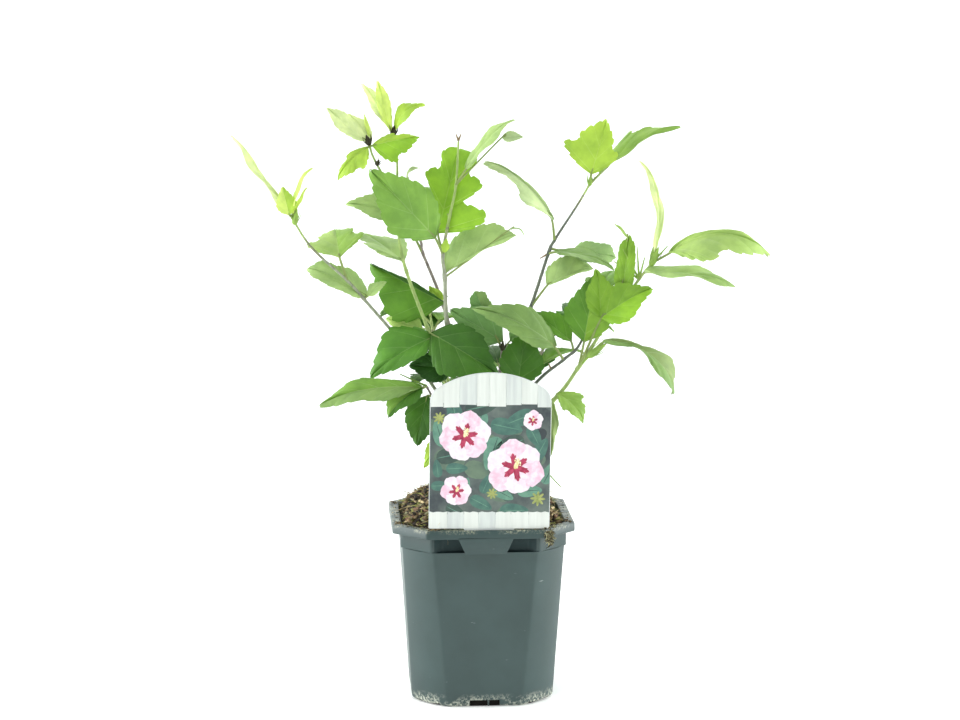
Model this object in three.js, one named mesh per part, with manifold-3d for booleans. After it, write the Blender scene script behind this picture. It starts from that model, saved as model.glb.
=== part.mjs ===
// A young hibiscus shrub in its nursery pot, in millimetres, +Z up.
// The origin is the centre of the pot's flat underside and the pot's label looks towards -Y.
// Thirteen limbs spring from a short stem: each is a bare bough and a mass of leaves beyond it.

import * as THREE from 'three';
import { mergeVertices } from 'three/addons/utils/BufferGeometryUtils.js';
import Module from 'manifold-3d';

const wasm = await Module();
wasm.setup();

// Pot
const POT_HEIGHT = 147;
const RIM_WIDTH = 145;
const RIM_CLIP = 26;
const LIP_DROP = 7;
const LIP_OVERHANG = 6.5;
const COLLAR_HEIGHT = 19.5;
const BODY_TOP_WIDTH = 129.5;
const BODY_FOOT_WIDTH = 114;
const FOOT_BEVEL = 4;
const WALL = 1.6;
const POT_TURN_DEGREES = 3.8;
const POCKET_TOP_WIDTH = 44;
const POCKET_FOOT_WIDTH = 32;
const POCKET_DROP = 12;
const DRAIN_COUNT = 8;
const DRAIN_WIDTH = 21;
const DRAIN_DEPTH = 12;
const DRAIN_HEIGHT = 5;
const COLLAR_STEP = 1;
// Corners of the pot: how much a clipped one takes off, and how far a rounded one reaches out
const RIM_CORNER = { clip: RIM_CLIP };
const COLLAR_CORNER = { clip: RIM_CLIP - 3 };
const BODY_TOP_CORNER = { round: 1.185 };
const BODY_FOOT_CORNER = { round: 1.13 };
// Directions of a ring's points in each quarter of the pot, in degrees
const QUARTER_DEGREES = [0, 27.8, 32.7, 45, 57.3, 62.2];

// Root ball
const MOUND_HEIGHT = 22;
const MOUND_LUMP = 1.6;
const MOUND_SHARES = [0.84, 0.55, 0.22];
const MOUND_EDGE_DROP = 6;
const FILL_EDGE_DROP = 7;
const ROOT_TAPER = 7;

// Label
const LABEL_WIDTH = 95;
const LABEL_HEIGHT = 124;
const LABEL_SHOULDER = 100;
const LABEL_SHOULDER_BEND = 9;
const LABEL_ARCH_RADIUS = 77;
const LABEL_ARCH_HALF = 40;
const LABEL_THICKNESS = 1;
const LABEL_OFFSET = 2.5;
const LABEL_INSET = 3.5;
const LABEL_LEAN_DEGREES = 0.8;
const TONGUE_TOP_WIDTH = 40;
const TONGUE_FOOT_WIDTH = 26;
const TONGUE_LENGTH = 17;

// Stem, boughs and leaves
const CLEAR = 0.3;
const BOUGH_GAP = 0.5;
const SLIVER = 0.04;
const STEM_FOOT = [0, 12, 142];
const STEM_TOP = [-1, 10, 215];
const STEM_RADII = [4.6, 3.4];
const LEAF_THICKNESS = 0.013;
const FOLD_DEGREES = 12;
const STALK_RADII = [1.1, 0.75];
const STALK_END = 0.12;
const SPIKE_RADII = [1, 0.5];
const BUD_FOOT_RADIUS = 0.8;
const BUD_TIP_RADIUS = 0.5;
const BUD_SHARES = [-0.15, 0.35, 1];

// Half outlines of a blade: along the midrib and across it, in blade lengths.
// The third number is where the vein to that point leaves the midrib.
const EDGES = {
  oval: [[0.12, 0.17, 0.08], [0.34, 0.33, 0.26], [0.58, 0.28, 0.5], [0.8, 0.14, 0.74]],
  lobed: [[0.15, 0.12, 0.1], [0.45, 0.4, 0.28], [0.53, 0.24, 0.46], [0.7, 0.22, 0.66], [0.86, 0.1, 0.84]],
  deep: [
    [0.1, 0.25, 0.06], [0.31, 0.43, 0.2], [0.38, 0.17, 0.33], [0.63, 0.32, 0.5], [0.71, 0.18, 0.67],
    [0.91, 0.17, 0.86],
  ],
  blunt: [[0.08, 0.2, 0.05], [0.35, 0.34, 0.28], [0.66, 0.31, 0.58], [0.84, 0.25, 0.8], [0.91, 0.13, 0.89]],
  spoon: [[0.25, 0.06, 0.22], [0.5, 0.11, 0.47], [0.72, 0.22, 0.7], [0.92, 0.13, 0.89]],
  narrow: [[0.2, 0.08, 0.18], [0.55, 0.13, 0.52], [0.82, 0.07, 0.8]],
};

// Each limb runs through its points from the stem outwards, and a leaf's `at` counts those points.
// `bare` is where its leaves begin. A leaf has a stalk, then a blade from its base to its tip,
// and `face` is the way that its upper side looks. `wide` is a number, or one each for the right
// and left half, and `edge` names the outline. Vectors are x, y, z in millimetres.
const LIMBS = {
  far_left: {
    path: [[-1, 11, 192], [-17, 8, 216], [-54, 4, 273], [-93, -2, 321], [-106, -4, 336],
      [-134, -8, 363], [-150, -10, 388]],
    bare: 2.6,
    radii: [1.9, 0.9],
    leaves: [
      { at: 3, stalk: [2, 4, 2], blade: [-48, 4, 23],
        face: [0.3, -0.65, 0.65], arch: 3, wide: [0.7, 0.6], edge: 'blunt' },
      { at: 4, stalk: [-6, 3, 18], blade: [-6, 44, 20],
        face: [-0.2, -0.25, 0.95], arch: 2, wide: 1.2, edge: 'lobed' },
      { at: 6, stalk: [-1, 0, 2], blade: [-42, -6, 64],
        face: [0.8, -0.3, 0.5], arch: -3, wide: 0.8, edge: 'narrow' },
      { at: 6, stalk: [-1, -2, 1], blade: [-5, -4, 23], face: [0, -1, 0] },
      { at: 6, stalk: [2, 0, 2], blade: [14, -4, 38], face: [-0.9, -0.3, 0.3], arch: 3, edge: 'narrow' },
      { at: 6, stalk: [2, 1, 1], blade: [10, 5, 22], face: [-0.6, -0.6, 0.4], wide: 0.7, edge: 'narrow' },
      { at: 3, stalk: [3, 1, 2], blade: [15, 2, 12], face: [-0.2, -0.5, 0.8], arch: 1, wide: 1.1 },
    ],
    buds: [
      { at: 5.8, body: [2, -1, 11], radius: 2.6 },
    ],
  },
  left_tall: {
    path: [[-1, 11, 200], [-14, 13, 223], [-42, 0, 297], [-59, 2, 343], [-65, 2, 372],
      [-66, 2, 401], [-66, 4, 434], [-69, 4, 452]],
    bare: 1.7,
    radii: [1.9, 0.9],
    leaves: [
      { at: 2, stalk: [3, -9, -3], blade: [55, -22, -31], face: [0.3, -0.95, 0.25], arch: 4, wide: [1.1, 0.9] },
      { at: 3, stalk: [-2, 1, 7], blade: [-38, 36, 21], face: [0.1, -0.1, 1], arch: 2, edge: 'lobed' },
      { at: 2, stalk: [-4, 10, -2], blade: [-31, 7, 8], face: [0, -0.9, 0.3], arch: 2, wide: 0.9 },
      { at: 7, stalk: [-1, 1, 3], blade: [-23, 6, 38], face: [0.5, -0.8, 0.3], wide: 1.05, edge: 'narrow' },
      { at: 7, stalk: [-2, -1, 3], blade: [-10, -2, 40], face: [0.2, -1, 0], edge: 'narrow' },
      { at: 7, stalk: [2, -1, 4], blade: [24, -5, 21], face: [-0.5, -0.6, 0.6], arch: 7, wide: 0.85 },
      { at: 5.4, stalk: [8, 0, 2], blade: [11, -2, 9],
        face: [-0.4, -0.6, 0.7], arch: 5, wide: 1.2, edge: 'narrow' },
    ],
    buds: [
      { at: 4.6, body: [-4, -3, 6], radius: 2 },
      { at: 7, body: [1, -1, 7], radius: 2.6 },
    ],
  },
  centre_tall: {
    path: [[-1, 10, 209], [-7, 1, 230], [-25, -4, 288], [-28, -8, 339], [-29.5, -9, 358],
      [-24, -9, 388], [-19, -8, 413], [-17, -8, 448]],
    bare: 1.5,
    radii: [2.3, 0.9],
    leaves: [
      { at: 1.6, stalk: [-3, -4, 2], blade: [-36, -2, 3], face: [0.1, -0.9, 0.4], wide: 1.15 },
      { at: 2, stalk: [-11, -1, 3], blade: [-53, -16, -31],
        face: [-0.3, -0.8, 0.5], arch: 6, wide: [1.05, 0.65] },
      { at: 2.45, stalk: [-1, 15, 3], blade: [-62, 14, 31],
        face: [-0.2, -0.95, 0.1], arch: 2, wide: [0.45, 1.2] },
      { at: 3, stalk: [1, 4, 4], blade: [56, 6, 30],
        face: [-0.15, -0.75, 0.65], arch: 3, wide: [0.35, 1], edge: 'blunt' },
      { at: 4, stalk: [-6, -9, 14], blade: [-52, -12, 56], face: [0.2, -1, 0], arch: 6, wide: [0.8, 0.85] },
      { at: 4, stalk: [-4, 4, 16], blade: [17, 10, 68],
        face: [-0.1, -1, 0.1], arch: 2, wide: [1.1, 0.9], edge: 'deep' },
      { at: 4, stalk: [1, -2, 1], blade: [2, -3, 12], face: [0, -1, 0.2], wide: 0.8 },
      { at: 6, stalk: [8, -3, 13], blade: [37, -5, 41],
        face: [-0.6, -0.5, 0.6], arch: 3, wide: 1.1, edge: 'narrow' },
      { at: 6, stalk: [36, -9, 38], blade: [17, -3, 1], face: [0, -0.8, 0.6], wide: 0.9 },
      { at: 5, stalk: [-4, 10, 4], blade: [-14, 46, 12], face: [0.1, 0.1, 1], arch: 6, edge: 'lobed' },
      { at: 3, stalk: [51, 9, 37], blade: [13, -1, -5],
        face: [0, -0.3, 0.95], arch: 4, wide: 0.6, edge: 'narrow' },
    ],
    spikes: [
      { at: 7, body: [-2, 0, 5] },
      { at: 7, body: [2, 0, 5] },
    ],
  },
  left_mid: {
    path: [[-1, 11, 206], [-4, 27, 223], [-30, 22, 313], [-46, 20, 355], [-50, 17, 370],
      [-82, 4, 428], [-88, -2, 445]],
    bare: 1.8,
    radii: [1.8, 0.9],
    leaves: [
      { at: 2, stalk: [-1, -2, 1], blade: [-10, -3, 15], face: [0, -1, 0.2], wide: 0.9 },
      { at: 3, stalk: [-15, -3, 30], blade: [-47, -8, 12], face: [0.1, -0.8, 0.5], arch: 4, wide: [0.8, 0.6] },
      { at: 5.9, stalk: [-1, -3, -1], blade: [-25, -10, -25],
        face: [-0.5, -0.8, 0.3], arch: 4, wide: [0.6, 1.1] },
      { at: 5.9, stalk: [2, -3, 0], blade: [38, -4, 8], face: [0.1, -0.9, 0.3], arch: 2, wide: [1.15, 0.4] },
      { at: 6, stalk: [-1, -1, 2], blade: [-31, -6, 27],
        face: [-0.5, -0.5, 0.7], arch: -3, wide: 1.4, edge: 'narrow' },
      { at: 6, stalk: [2, 3, 4], blade: [-19, 6, 20], face: [0.2, -0.8, 0.6], wide: 0.7 },
      { at: 6, stalk: [1, 3, 2], blade: [-5, 3, 22], face: [0.2, -1, 0], wide: 0.5, edge: 'narrow' },
    ],
    buds: [
      { at: 5, body: [2, -4, 4], radius: 1.8 },
      { at: 6, body: [-2, -3, 7], radius: 2.6 },
    ],
  },
  right_tall: {
    path: [[-1, 11, 206], [11, 14, 228], [40, 16, 309], [55, 18, 355], [60, 18, 366],
      [78, 18, 394], [88, 18, 411]],
    bare: 1.8,
    radii: [1.9, 0.9],
    leaves: [
      { at: 2.05, stalk: [13, -3, 18], blade: [38, 4, 14],
        face: [-0.2, -0.8, 0.5], arch: 5, wide: [0.7, 1.1], edge: 'blunt' },
      { at: 3, stalk: [5, -4, 2], blade: [48, -18, -11], face: [0.3, -0.25, 0.9], arch: 3, wide: 0.8 },
      { at: 3.2, stalk: [18, 3, -4], blade: [36, -1, -3],
        face: [0.2, -0.9, 0.4], arch: 2, wide: [0.6, 0.8], edge: 'blunt' },
      { at: 4, stalk: [-2, -7, 17], blade: [-54, -8, 50],
        face: [0.57, -0.57, 0.57], arch: 8, wide: [0.15, 0.6], edge: 'lobed' },
      { at: 6, stalk: [1, -2, 8], blade: [12, -6, 45],
        face: [0, -1, 0.1], arch: 2, wide: [0.85, 1.4], edge: 'lobed' },
      { at: 6, stalk: [8, -2, 9], blade: [62, -10, 41],
        face: [-0.3, -0.3, 0.85], arch: 4, wide: [0.45, 0.9], edge: 'lobed' },
    ],
    buds: [
      { at: 6, body: [1, -1, 8], radius: 2 },
    ],
    spikes: [
      { at: 3, body: [-7, 0, -4] },
    ],
  },
  right_mid: {
    path: [[-1, 11, 193], [9, 9, 208], [46, -2, 254], [67, -4, 272], [80, 0, 284], [92, 6, 314]],
    bare: 2.3,
    radii: [1.9, 1],
    leaves: [
      { at: 3, stalk: [-7, -3, 11], blade: [-67, -16, 35],
        face: [0.3, -0.8, 0.55], arch: 9, wide: [0.6, 0.55] },
      { at: 3.6, stalk: [-2, 2, 8], blade: [-32, 4, 24], face: [0.3, -0.9, 0.2], arch: 2, wide: 0.9 },
      { at: 5, stalk: [4, 6, 6], blade: [16, 34, 18], face: [-0.2, -0.1, 1], arch: 6, edge: 'lobed' },
      { at: 4.4, stalk: [-2, 7, 4], blade: [-14, 40, -2], face: [0, 0.1, 1], arch: 7, edge: 'lobed' },
    ],
    buds: [
      { at: 5, body: [1, 1, 8], radius: 2 },
    ],
    spikes: [
      { at: 2.45, body: [-2, -1, 5] },
    ],
  },
  right_low: {
    path: [[-1, 11, 183], [10, 6, 195], [58, -8, 239], [79, -14, 268], [100, -18, 302],
      [126, -20, 339], [136, -21, 352]],
    bare: 1.8,
    radii: [2.3, 1],
    leaves: [
      { at: 2, stalk: [0, 9, -1], blade: [-1, 6, -50], face: [0.5, -0.85, 0], wide: 0.35 },
      { at: 2.15, stalk: [-1, -4, 2], blade: [22, -10, -22],
        face: [0.5, -0.6, 0.6], arch: 4, wide: 1.1, edge: 'lobed' },
      { at: 3, stalk: [19, -6, 21], blade: [59, -10, -40], face: [0.6, -0.35, 0.7], arch: 14, edge: 'spoon' },
      { at: 3, stalk: [4, 1, 20], blade: [10, -2, 56], face: [-0.2, -1, 0.1], arch: 3, wide: [1, 0.95] },
      { at: 3, stalk: [17, -7, 40], blade: [40, -8, 26], face: [-0.35, -0.8, 0.4], arch: 3, wide: 1.05 },
      { at: 3, stalk: [17, -5, 40], blade: [-4, -2, 40], face: [0.3, -1, 0], arch: 2, wide: 0.9 },
      { at: 4.4, stalk: [3, 2, 6], blade: [4, -2, 51],
        face: [-0.3, -0.9, 0], arch: 2, wide: 0.45, edge: 'blunt' },
      { at: 5, stalk: [4, -4, 6], blade: [72, -10, -8],
        face: [0.1, -0.3, 0.93], arch: 3, wide: 0.5, edge: 'blunt' },
      { at: 6, stalk: [14, -5, 9], blade: [80, -12, 1],
        face: [0.05, -0.6, 0.8], arch: 20, wide: [1.05, 0.2], edge: 'lobed' },
      { at: 6, stalk: [1, -1, 10], blade: [-10, -4, 73],
        face: [0.8, -0.7, 0], arch: 10, wide: 0.5, edge: 'narrow' },
      { at: 4.4, stalk: [6, 0, 53], blade: [-11, -2, 13],
        face: [0.5, -0.8, 0.3], arch: 2, wide: 0.6, edge: 'narrow' },
    ],
    buds: [
      { at: 6, body: [5, -3, 13], radius: 3 },
      { at: 3, stalk: [9, -4, 10], body: [13, -2, 10], radius: 3 },
    ],
    spikes: [
      { at: 5, body: [-13, -2, 24] },
      { at: 5, body: [-2, -3, 26] },
      { at: 5, body: [4, -5, 18] },
      { at: 6, body: [12, -4, 14] },
      { at: 6, body: [2, -4, 24] },
      { at: 5, body: [-20, 2, 14] },
    ],
  },
  centre_low: {
    path: [[-1, 10, 200], [6, -1, 222], [14, -6, 250], [18, -8, 281]],
    bare: 1.4,
    radii: [1.9, 1.2],
    leaves: [
      { at: 3, stalk: [0, 4, 6], blade: [-43, 2, 26], face: [-0.1, -0.95, 0.3], arch: 3, wide: [0.95, 0.75] },
      { at: 3, stalk: [-13, 7, 25], blade: [-9, 3, 21], face: [0.1, -1, 0.2], edge: 'blunt' },
      { at: 2, stalk: [16, -2, 2], blade: [6, 5, 44], face: [0.1, -1, 0.1], arch: 3, wide: 1.15 },
      { at: 3, stalk: [6, 6, 6], blade: [18, 6, 12], face: [0, -0.8, 0.6], wide: 1.1 },
      { at: 2.5, stalk: [-2, 8, 3], blade: [-8, 42, 6], face: [0, 0.1, 1], arch: 6, edge: 'lobed' },
    ],
    buds: [
      { at: 3, body: [0, -2, 7], radius: 2 },
    ],
  },
  low_left: {
    path: [[-1, 11, 187], [-11, 2, 202], [-30, -6, 228], [-43, -12, 252]],
    bare: 1.2,
    radii: [1.7, 1],
    leaves: [
      { at: 3, stalk: [-4, -5, -1], blade: [-82, -19, -9],
        face: [-0.05, -0.7, 0.7], arch: 9, wide: [0.9, 1.2], edge: 'narrow' },
      { at: 3, stalk: [-3, -6, 0], blade: [-28, -16, -21],
        face: [-0.4, -0.75, 0.5], arch: 4, wide: [1.3, 0.8] },
      { at: 2.6, stalk: [-4, -4, 2], blade: [-9, -6, -41], face: [-0.2, -1, 0], arch: 3 },
      { at: 1.3, stalk: [-4, -6, 2], blade: [-26, -12, -24], face: [-0.3, -0.8, 0.5], arch: 3, wide: 0.8 },
    ],
    spikes: [
      { at: 3, body: [-21, -2, 10] },
    ],
  },
  low_right: {
    path: [[-1, 11, 178], [9, 2, 186], [24, -2, 206], [34, -6, 224]],
    bare: 1.2,
    radii: [1.7, 1.1],
    leaves: [
      { at: 2.4, stalk: [6, -8, 2], blade: [14, -32, -14], face: [0.1, -0.4, 0.9], arch: 5 },
      { at: 3, stalk: [1, -4, 5], blade: [-12, -32, 12], face: [0.1, -0.2, 0.95], arch: 5 },
    ],
    spikes: [
      { at: 1.6, body: [47, -6, -29], arch: 9 },
    ],
  },
  back_left: {
    path: [[-1, 11, 187], [-9, 22, 201], [-24, 48, 238], [-37, 66, 276], [-41, 74, 296]],
    bare: 1.6,
    radii: [1.9, 1],
    grown: { seed: 11, count: 7, from: 2, heading: 115, fan: 60 },
  },
  back_right: {
    path: [[-1, 11, 185], [9, 21, 197], [30, 46, 228], [50, 62, 266], [60, 68, 292]],
    bare: 1.6,
    radii: [1.9, 1],
    grown: { seed: 29, count: 7, from: 2.3, heading: 62, fan: 60 },
  },
  back_centre: {
    path: [[-1, 11, 195], [3, 26, 208], [5, 52, 230], [6, 74, 243]],
    bare: 1.4,
    radii: [1.9, 1],
    grown: { seed: 5, count: 5, from: 1.7, heading: 106, fan: 50 },
  },
};

// Leaves of the limbs at the back: each limb's leaves fan out on both sides of its heading, which
// counts from +X towards +Y, and successive leaves are apart by the golden share of the fan
const GOLDEN_SHARE = 0.618;
const FAN_SCATTER = 0.12;
const GROWN_STALK = 11;
const GROWN_BLADE = [38, 56];
const GROWN_RISE_DEGREES = [-24, 22];

const vector = (numbers) => new THREE.Vector3(...numbers);
const radians = THREE.MathUtils.degToRad;

// Solids

function solidOf(points, faces) {
  return new wasm.Manifold(new wasm.Mesh({
    numProp: 3,
    vertProperties: new Float32Array(points.flatMap((point) => [point.x, point.y, point.z])),
    triVerts: new Uint32Array(faces.flat()),
  }));
}

function solidOfGeometry(geometry) {
  geometry.deleteAttribute('normal');
  geometry.deleteAttribute('uv');
  const merged = mergeVertices(geometry, 1e-4);
  return new wasm.Manifold(new wasm.Mesh({
    numProp: 3,
    vertProperties: new Float32Array(merged.attributes.position.array),
    triVerts: new Uint32Array(merged.index.array),
  }));
}

function geometryOf(solid) {
  const { vertProperties, triVerts } = solid.getMesh();
  const geometry = new THREE.BufferGeometry();
  geometry.setAttribute('position', new THREE.BufferAttribute(vertProperties, 3));
  geometry.setIndex(new THREE.BufferAttribute(triVerts, 1));
  geometry.computeVertexNormals();
  return geometry;
}

// The largest piece, without loose scraps, sealed hollows and slivers
function wholePiece(solid) {
  const pieces = solid.decompose();
  const largest = pieces.reduce((best, piece) => (piece.volume() > best.volume() ? piece : best));
  return largest.asOriginal().simplify(SLIVER);
}

// A closed skin over rings of as many points each, with a fan at both ends
function loft(rings) {
  const count = rings[0].length;
  const points = rings.flat();
  const faces = [];
  for (let ring = 0; ring + 1 < rings.length; ring += 1) {
    for (let k = 0; k < count; k += 1) {
      const a = ring * count + k;
      const b = ring * count + ((k + 1) % count);
      faces.push([a, b, b + count], [a, b + count, a + count]);
    }
  }
  const middle = (ring) => ring.reduce((sum, point) => sum.add(point), new THREE.Vector3())
    .divideScalar(count);
  const last = (rings.length - 1) * count;
  points.push(middle(rings[0]), middle(rings.at(-1)));
  for (let k = 0; k < count; k += 1) {
    const next = (k + 1) % count;
    faces.push([points.length - 2, next, k], [points.length - 1, last + k, last + next]);
  }
  return solidOf(points, faces);
}

// A tapering round limb along points, with flat ends square to it
function taperedTube(points, startRadius, endRadius, sides) {
  const last = points.length - 1;
  let across = new THREE.Vector3();
  const rings = points.map((point, index) => {
    const along = points[Math.min(index + 1, last)].clone()
      .sub(points[Math.max(index - 1, 0)]).normalize();
    if (index === 0) {
      across.crossVectors(along, Math.abs(along.y) < 0.9 ? vector([0, 1, 0]) : vector([1, 0, 0]));
    }
    across = across.clone().addScaledVector(along, -across.dot(along)).normalize();
    const up = along.clone().cross(across);
    const radius = THREE.MathUtils.lerp(startRadius, endRadius, index / last);
    return Array.from({ length: sides }, (_, k) => {
      const angle = (k / sides) * 2 * Math.PI;
      return point.clone().addScaledVector(across, radius * Math.cos(angle))
        .addScaledVector(up, radius * Math.sin(angle));
    });
  });
  return loft(rings);
}

// The point at a count of path points along a smooth curve through them
function pointOnPath(path, at) {
  const curve = new THREE.CatmullRomCurve3(path.map(vector), false, 'catmullrom', 0.5);
  return curve.getPoint(at / (path.length - 1));
}

function pathStretch(path, from, to, steps) {
  return Array.from({ length: steps + 1 }, (_, k) => pointOnPath(path, from + ((to - from) * k) / steps));
}

// Pot

// One ring of the pot: flats on four sides, and clipped or rounded corners between them
function potRing(width, z, corner, inset = 0) {
  const half = width / 2 - inset;
  const ring = [];
  for (let side = 0; side < 4; side += 1) {
    for (const degrees of QUARTER_DEGREES) {
      const flat = half / Math.max(Math.cos(radians(degrees)), Math.sin(radians(degrees)));
      const clipLine = (half * 2 - corner.clip) / Math.SQRT2 / Math.cos(radians(degrees - 45));
      const reach = Math.min(flat, corner.clip ? clipLine : half * corner.round);
      const angle = radians(degrees + 90 * side + POT_TURN_DEGREES);
      ring.push(new THREE.Vector3(reach * Math.cos(angle), reach * Math.sin(angle), z));
    }
  }
  return ring;
}

const collarTop = POT_HEIGHT - WALL;
const lipFoot = POT_HEIGHT - LIP_DROP;
const bodyTop = POT_HEIGHT - COLLAR_HEIGHT;
const collarWidth = RIM_WIDTH - 2 * LIP_OVERHANG;

function frontPlate(points, front, depth) {
  const shape = new THREE.Shape(points.map(([x, y]) => new THREE.Vector2(x, y)));
  const plate = new THREE.ExtrudeGeometry(shape, { depth, bevelEnabled: false });
  plate.rotateX(Math.PI / 2);
  plate.translate(0, -front + depth, 0);
  plate.rotateZ(radians(POT_TURN_DEGREES));
  return plate;
}

function makePot() {
  const shell = loft([
    potRing(BODY_FOOT_WIDTH - 2 * FOOT_BEVEL, 0, BODY_FOOT_CORNER),
    potRing(BODY_FOOT_WIDTH, FOOT_BEVEL, BODY_FOOT_CORNER),
    potRing(BODY_TOP_WIDTH, bodyTop, BODY_TOP_CORNER),
    potRing(collarWidth, bodyTop + COLLAR_STEP, COLLAR_CORNER),
    potRing(collarWidth, collarTop, COLLAR_CORNER),
    potRing(RIM_WIDTH - 2 * WALL, collarTop, RIM_CORNER),
    potRing(RIM_WIDTH - 2 * WALL, lipFoot, RIM_CORNER),
    potRing(RIM_WIDTH, lipFoot, RIM_CORNER),
    potRing(RIM_WIDTH, POT_HEIGHT, RIM_CORNER),
    potRing(collarWidth, POT_HEIGHT, COLLAR_CORNER, WALL),
    potRing(collarWidth, bodyTop + COLLAR_STEP, COLLAR_CORNER, WALL),
    potRing(BODY_TOP_WIDTH, bodyTop - COLLAR_STEP, BODY_TOP_CORNER, WALL),
    potRing(BODY_FOOT_WIDTH, FOOT_BEVEL, BODY_FOOT_CORNER, WALL),
    potRing(BODY_FOOT_WIDTH - 2 * FOOT_BEVEL, WALL, BODY_FOOT_CORNER, WALL),
  ]);
  const pocket = solidOfGeometry(frontPlate([
    [-POCKET_TOP_WIDTH / 2, lipFoot + 1], [-POCKET_FOOT_WIDTH / 2, lipFoot - POCKET_DROP],
    [POCKET_FOOT_WIDTH / 2, lipFoot - POCKET_DROP], [POCKET_TOP_WIDTH / 2, lipFoot + 1],
  ], RIM_WIDTH / 2, WALL));
  let pot = shell.add(pocket);
  const slot = new THREE.BoxGeometry(TONGUE_TOP_WIDTH + 4, LABEL_THICKNESS + 2 * CLEAR, 4 * WALL);
  slot.translate(LABEL_OFFSET, -labelDistance, POT_HEIGHT - WALL);
  slot.rotateZ(radians(POT_TURN_DEGREES));
  pot = pot.subtract(solidOfGeometry(slot));
  for (let k = 0; k < DRAIN_COUNT; k += 1) {
    const notch = new THREE.BoxGeometry(DRAIN_WIDTH, DRAIN_DEPTH, 2 * DRAIN_HEIGHT);
    notch.translate(0, -BODY_FOOT_WIDTH / 2, 0);
    notch.rotateZ((k / DRAIN_COUNT) * 2 * Math.PI + radians(POT_TURN_DEGREES));
    pot = pot.subtract(solidOfGeometry(notch));
  }
  return wholePiece(pot);
}

// Root ball: it fills the pot and stands up out of it in a lumpy mound, round the stem's foot
function makeSoil() {
  const side = WALL + CLEAR;
  const fill = [
    potRing(BODY_FOOT_WIDTH - 2 * FOOT_BEVEL, side, BODY_FOOT_CORNER, side + ROOT_TAPER),
    potRing(BODY_FOOT_WIDTH, side + FOOT_BEVEL, BODY_FOOT_CORNER, side + ROOT_TAPER),
    potRing(BODY_TOP_WIDTH, bodyTop - COLLAR_STEP, BODY_TOP_CORNER, side),
    potRing(BODY_TOP_WIDTH, bodyTop + COLLAR_STEP, COLLAR_CORNER, side),
    potRing(collarWidth, POT_HEIGHT - FILL_EDGE_DROP, COLLAR_CORNER, side),
  ];
  const rim = fill.at(-1);
  for (const share of MOUND_SHARES) {
    fill.push(rim.map((point, k) => {
      const lump = MOUND_LUMP * Math.sin(k * 2.3 + share * 9) * (share + 0.2);
      return new THREE.Vector3(point.x * share, point.y * share,
        POT_HEIGHT + MOUND_HEIGHT * (1 - share ** 3) - MOUND_EDGE_DROP * share ** 6 + lump);
    }));
  }
  const pocket = taperedTube([vector(STEM_FOOT).setZ(STEM_FOOT[2] - CLEAR), vector(STEM_TOP)],
    STEM_RADII[0] + CLEAR, STEM_RADII[1] + CLEAR, 16);
  return wholePiece(loft(fill).subtract(pocket));
}

// Label: a printed card with an arched top, its tongue down in the slot of the rim
const labelDistance = RIM_WIDTH / 2 - LABEL_INSET;

function makeLabel() {
  const half = LABEL_WIDTH / 2;
  const shape = new THREE.Shape();
  const archStart = Math.acos(LABEL_ARCH_HALF / LABEL_ARCH_RADIUS);
  const archHeight = LABEL_HEIGHT - LABEL_ARCH_RADIUS + LABEL_ARCH_RADIUS * Math.sin(archStart);
  shape.moveTo(-TONGUE_FOOT_WIDTH / 2, -TONGUE_LENGTH);
  shape.lineTo(TONGUE_FOOT_WIDTH / 2, -TONGUE_LENGTH);
  shape.lineTo(TONGUE_TOP_WIDTH / 2, 0);
  shape.lineTo(half, 0);
  shape.lineTo(half, LABEL_SHOULDER);
  shape.quadraticCurveTo(half, LABEL_SHOULDER + LABEL_SHOULDER_BEND, LABEL_ARCH_HALF, archHeight);
  shape.absarc(0, LABEL_HEIGHT - LABEL_ARCH_RADIUS, LABEL_ARCH_RADIUS, archStart,
    Math.PI - archStart, false);
  shape.quadraticCurveTo(-half, LABEL_SHOULDER + LABEL_SHOULDER_BEND, -half, LABEL_SHOULDER);
  shape.lineTo(-half, 0);
  shape.lineTo(-TONGUE_TOP_WIDTH / 2, 0);
  const card = new THREE.ExtrudeGeometry(shape,
    { depth: LABEL_THICKNESS, bevelEnabled: false, curveSegments: 6 });
  card.rotateZ(-radians(LABEL_LEAN_DEGREES));
  card.rotateX(Math.PI / 2);
  card.translate(LABEL_OFFSET, LABEL_THICKNESS / 2 - labelDistance,
    POT_HEIGHT + CLEAR + half * Math.sin(radians(LABEL_LEAN_DEGREES)));
  card.rotateZ(radians(POT_TURN_DEGREES));
  return solidOfGeometry(card);
}

// Stem and boughs

const stemAxis = [vector(STEM_FOOT), vector(STEM_TOP)];
const makeStem = () => taperedTube(stemAxis, STEM_RADII[0], STEM_RADII[1], 12);

function makeBough(limb, grownStem) {
  const steps = Math.ceil(limb.bare * 4);
  const thin = THREE.MathUtils.lerp(limb.radii[0], limb.radii[1], limb.bare / (limb.path.length - 1));
  const bough = taperedTube(pathStretch(limb.path, 0, limb.bare, steps), limb.radii[0], thin, 7);
  return wholePiece(bough.subtract(grownStem));
}

// Leaves

// A blade's own directions and its midrib, bowed towards its upper side by `arch`
function bladeShape(leaf, base) {
  const chord = vector(leaf.blade);
  const length = chord.length();
  const along = chord.clone().normalize();
  const face = vector(leaf.face);
  const up = face.addScaledVector(along, -face.dot(along)).normalize();
  const across = along.clone().cross(up);
  const arch = leaf.arch ?? 0;
  const fold = radians(FOLD_DEGREES);
  const midrib = (u) => base.clone().addScaledVector(chord, u).addScaledVector(up, arch * 4 * u * (1 - u));
  const normal = (u) => across.clone()
    .cross(chord.clone().addScaledVector(up, arch * 4 * (1 - 2 * u))).normalize();
  const edge = (u, v, side) => midrib(u)
    .addScaledVector(across, side * v * length * Math.cos(fold))
    .addScaledVector(normal(u), v * length * Math.sin(fold));
  return { length, midrib, normal, edge };
}

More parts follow.
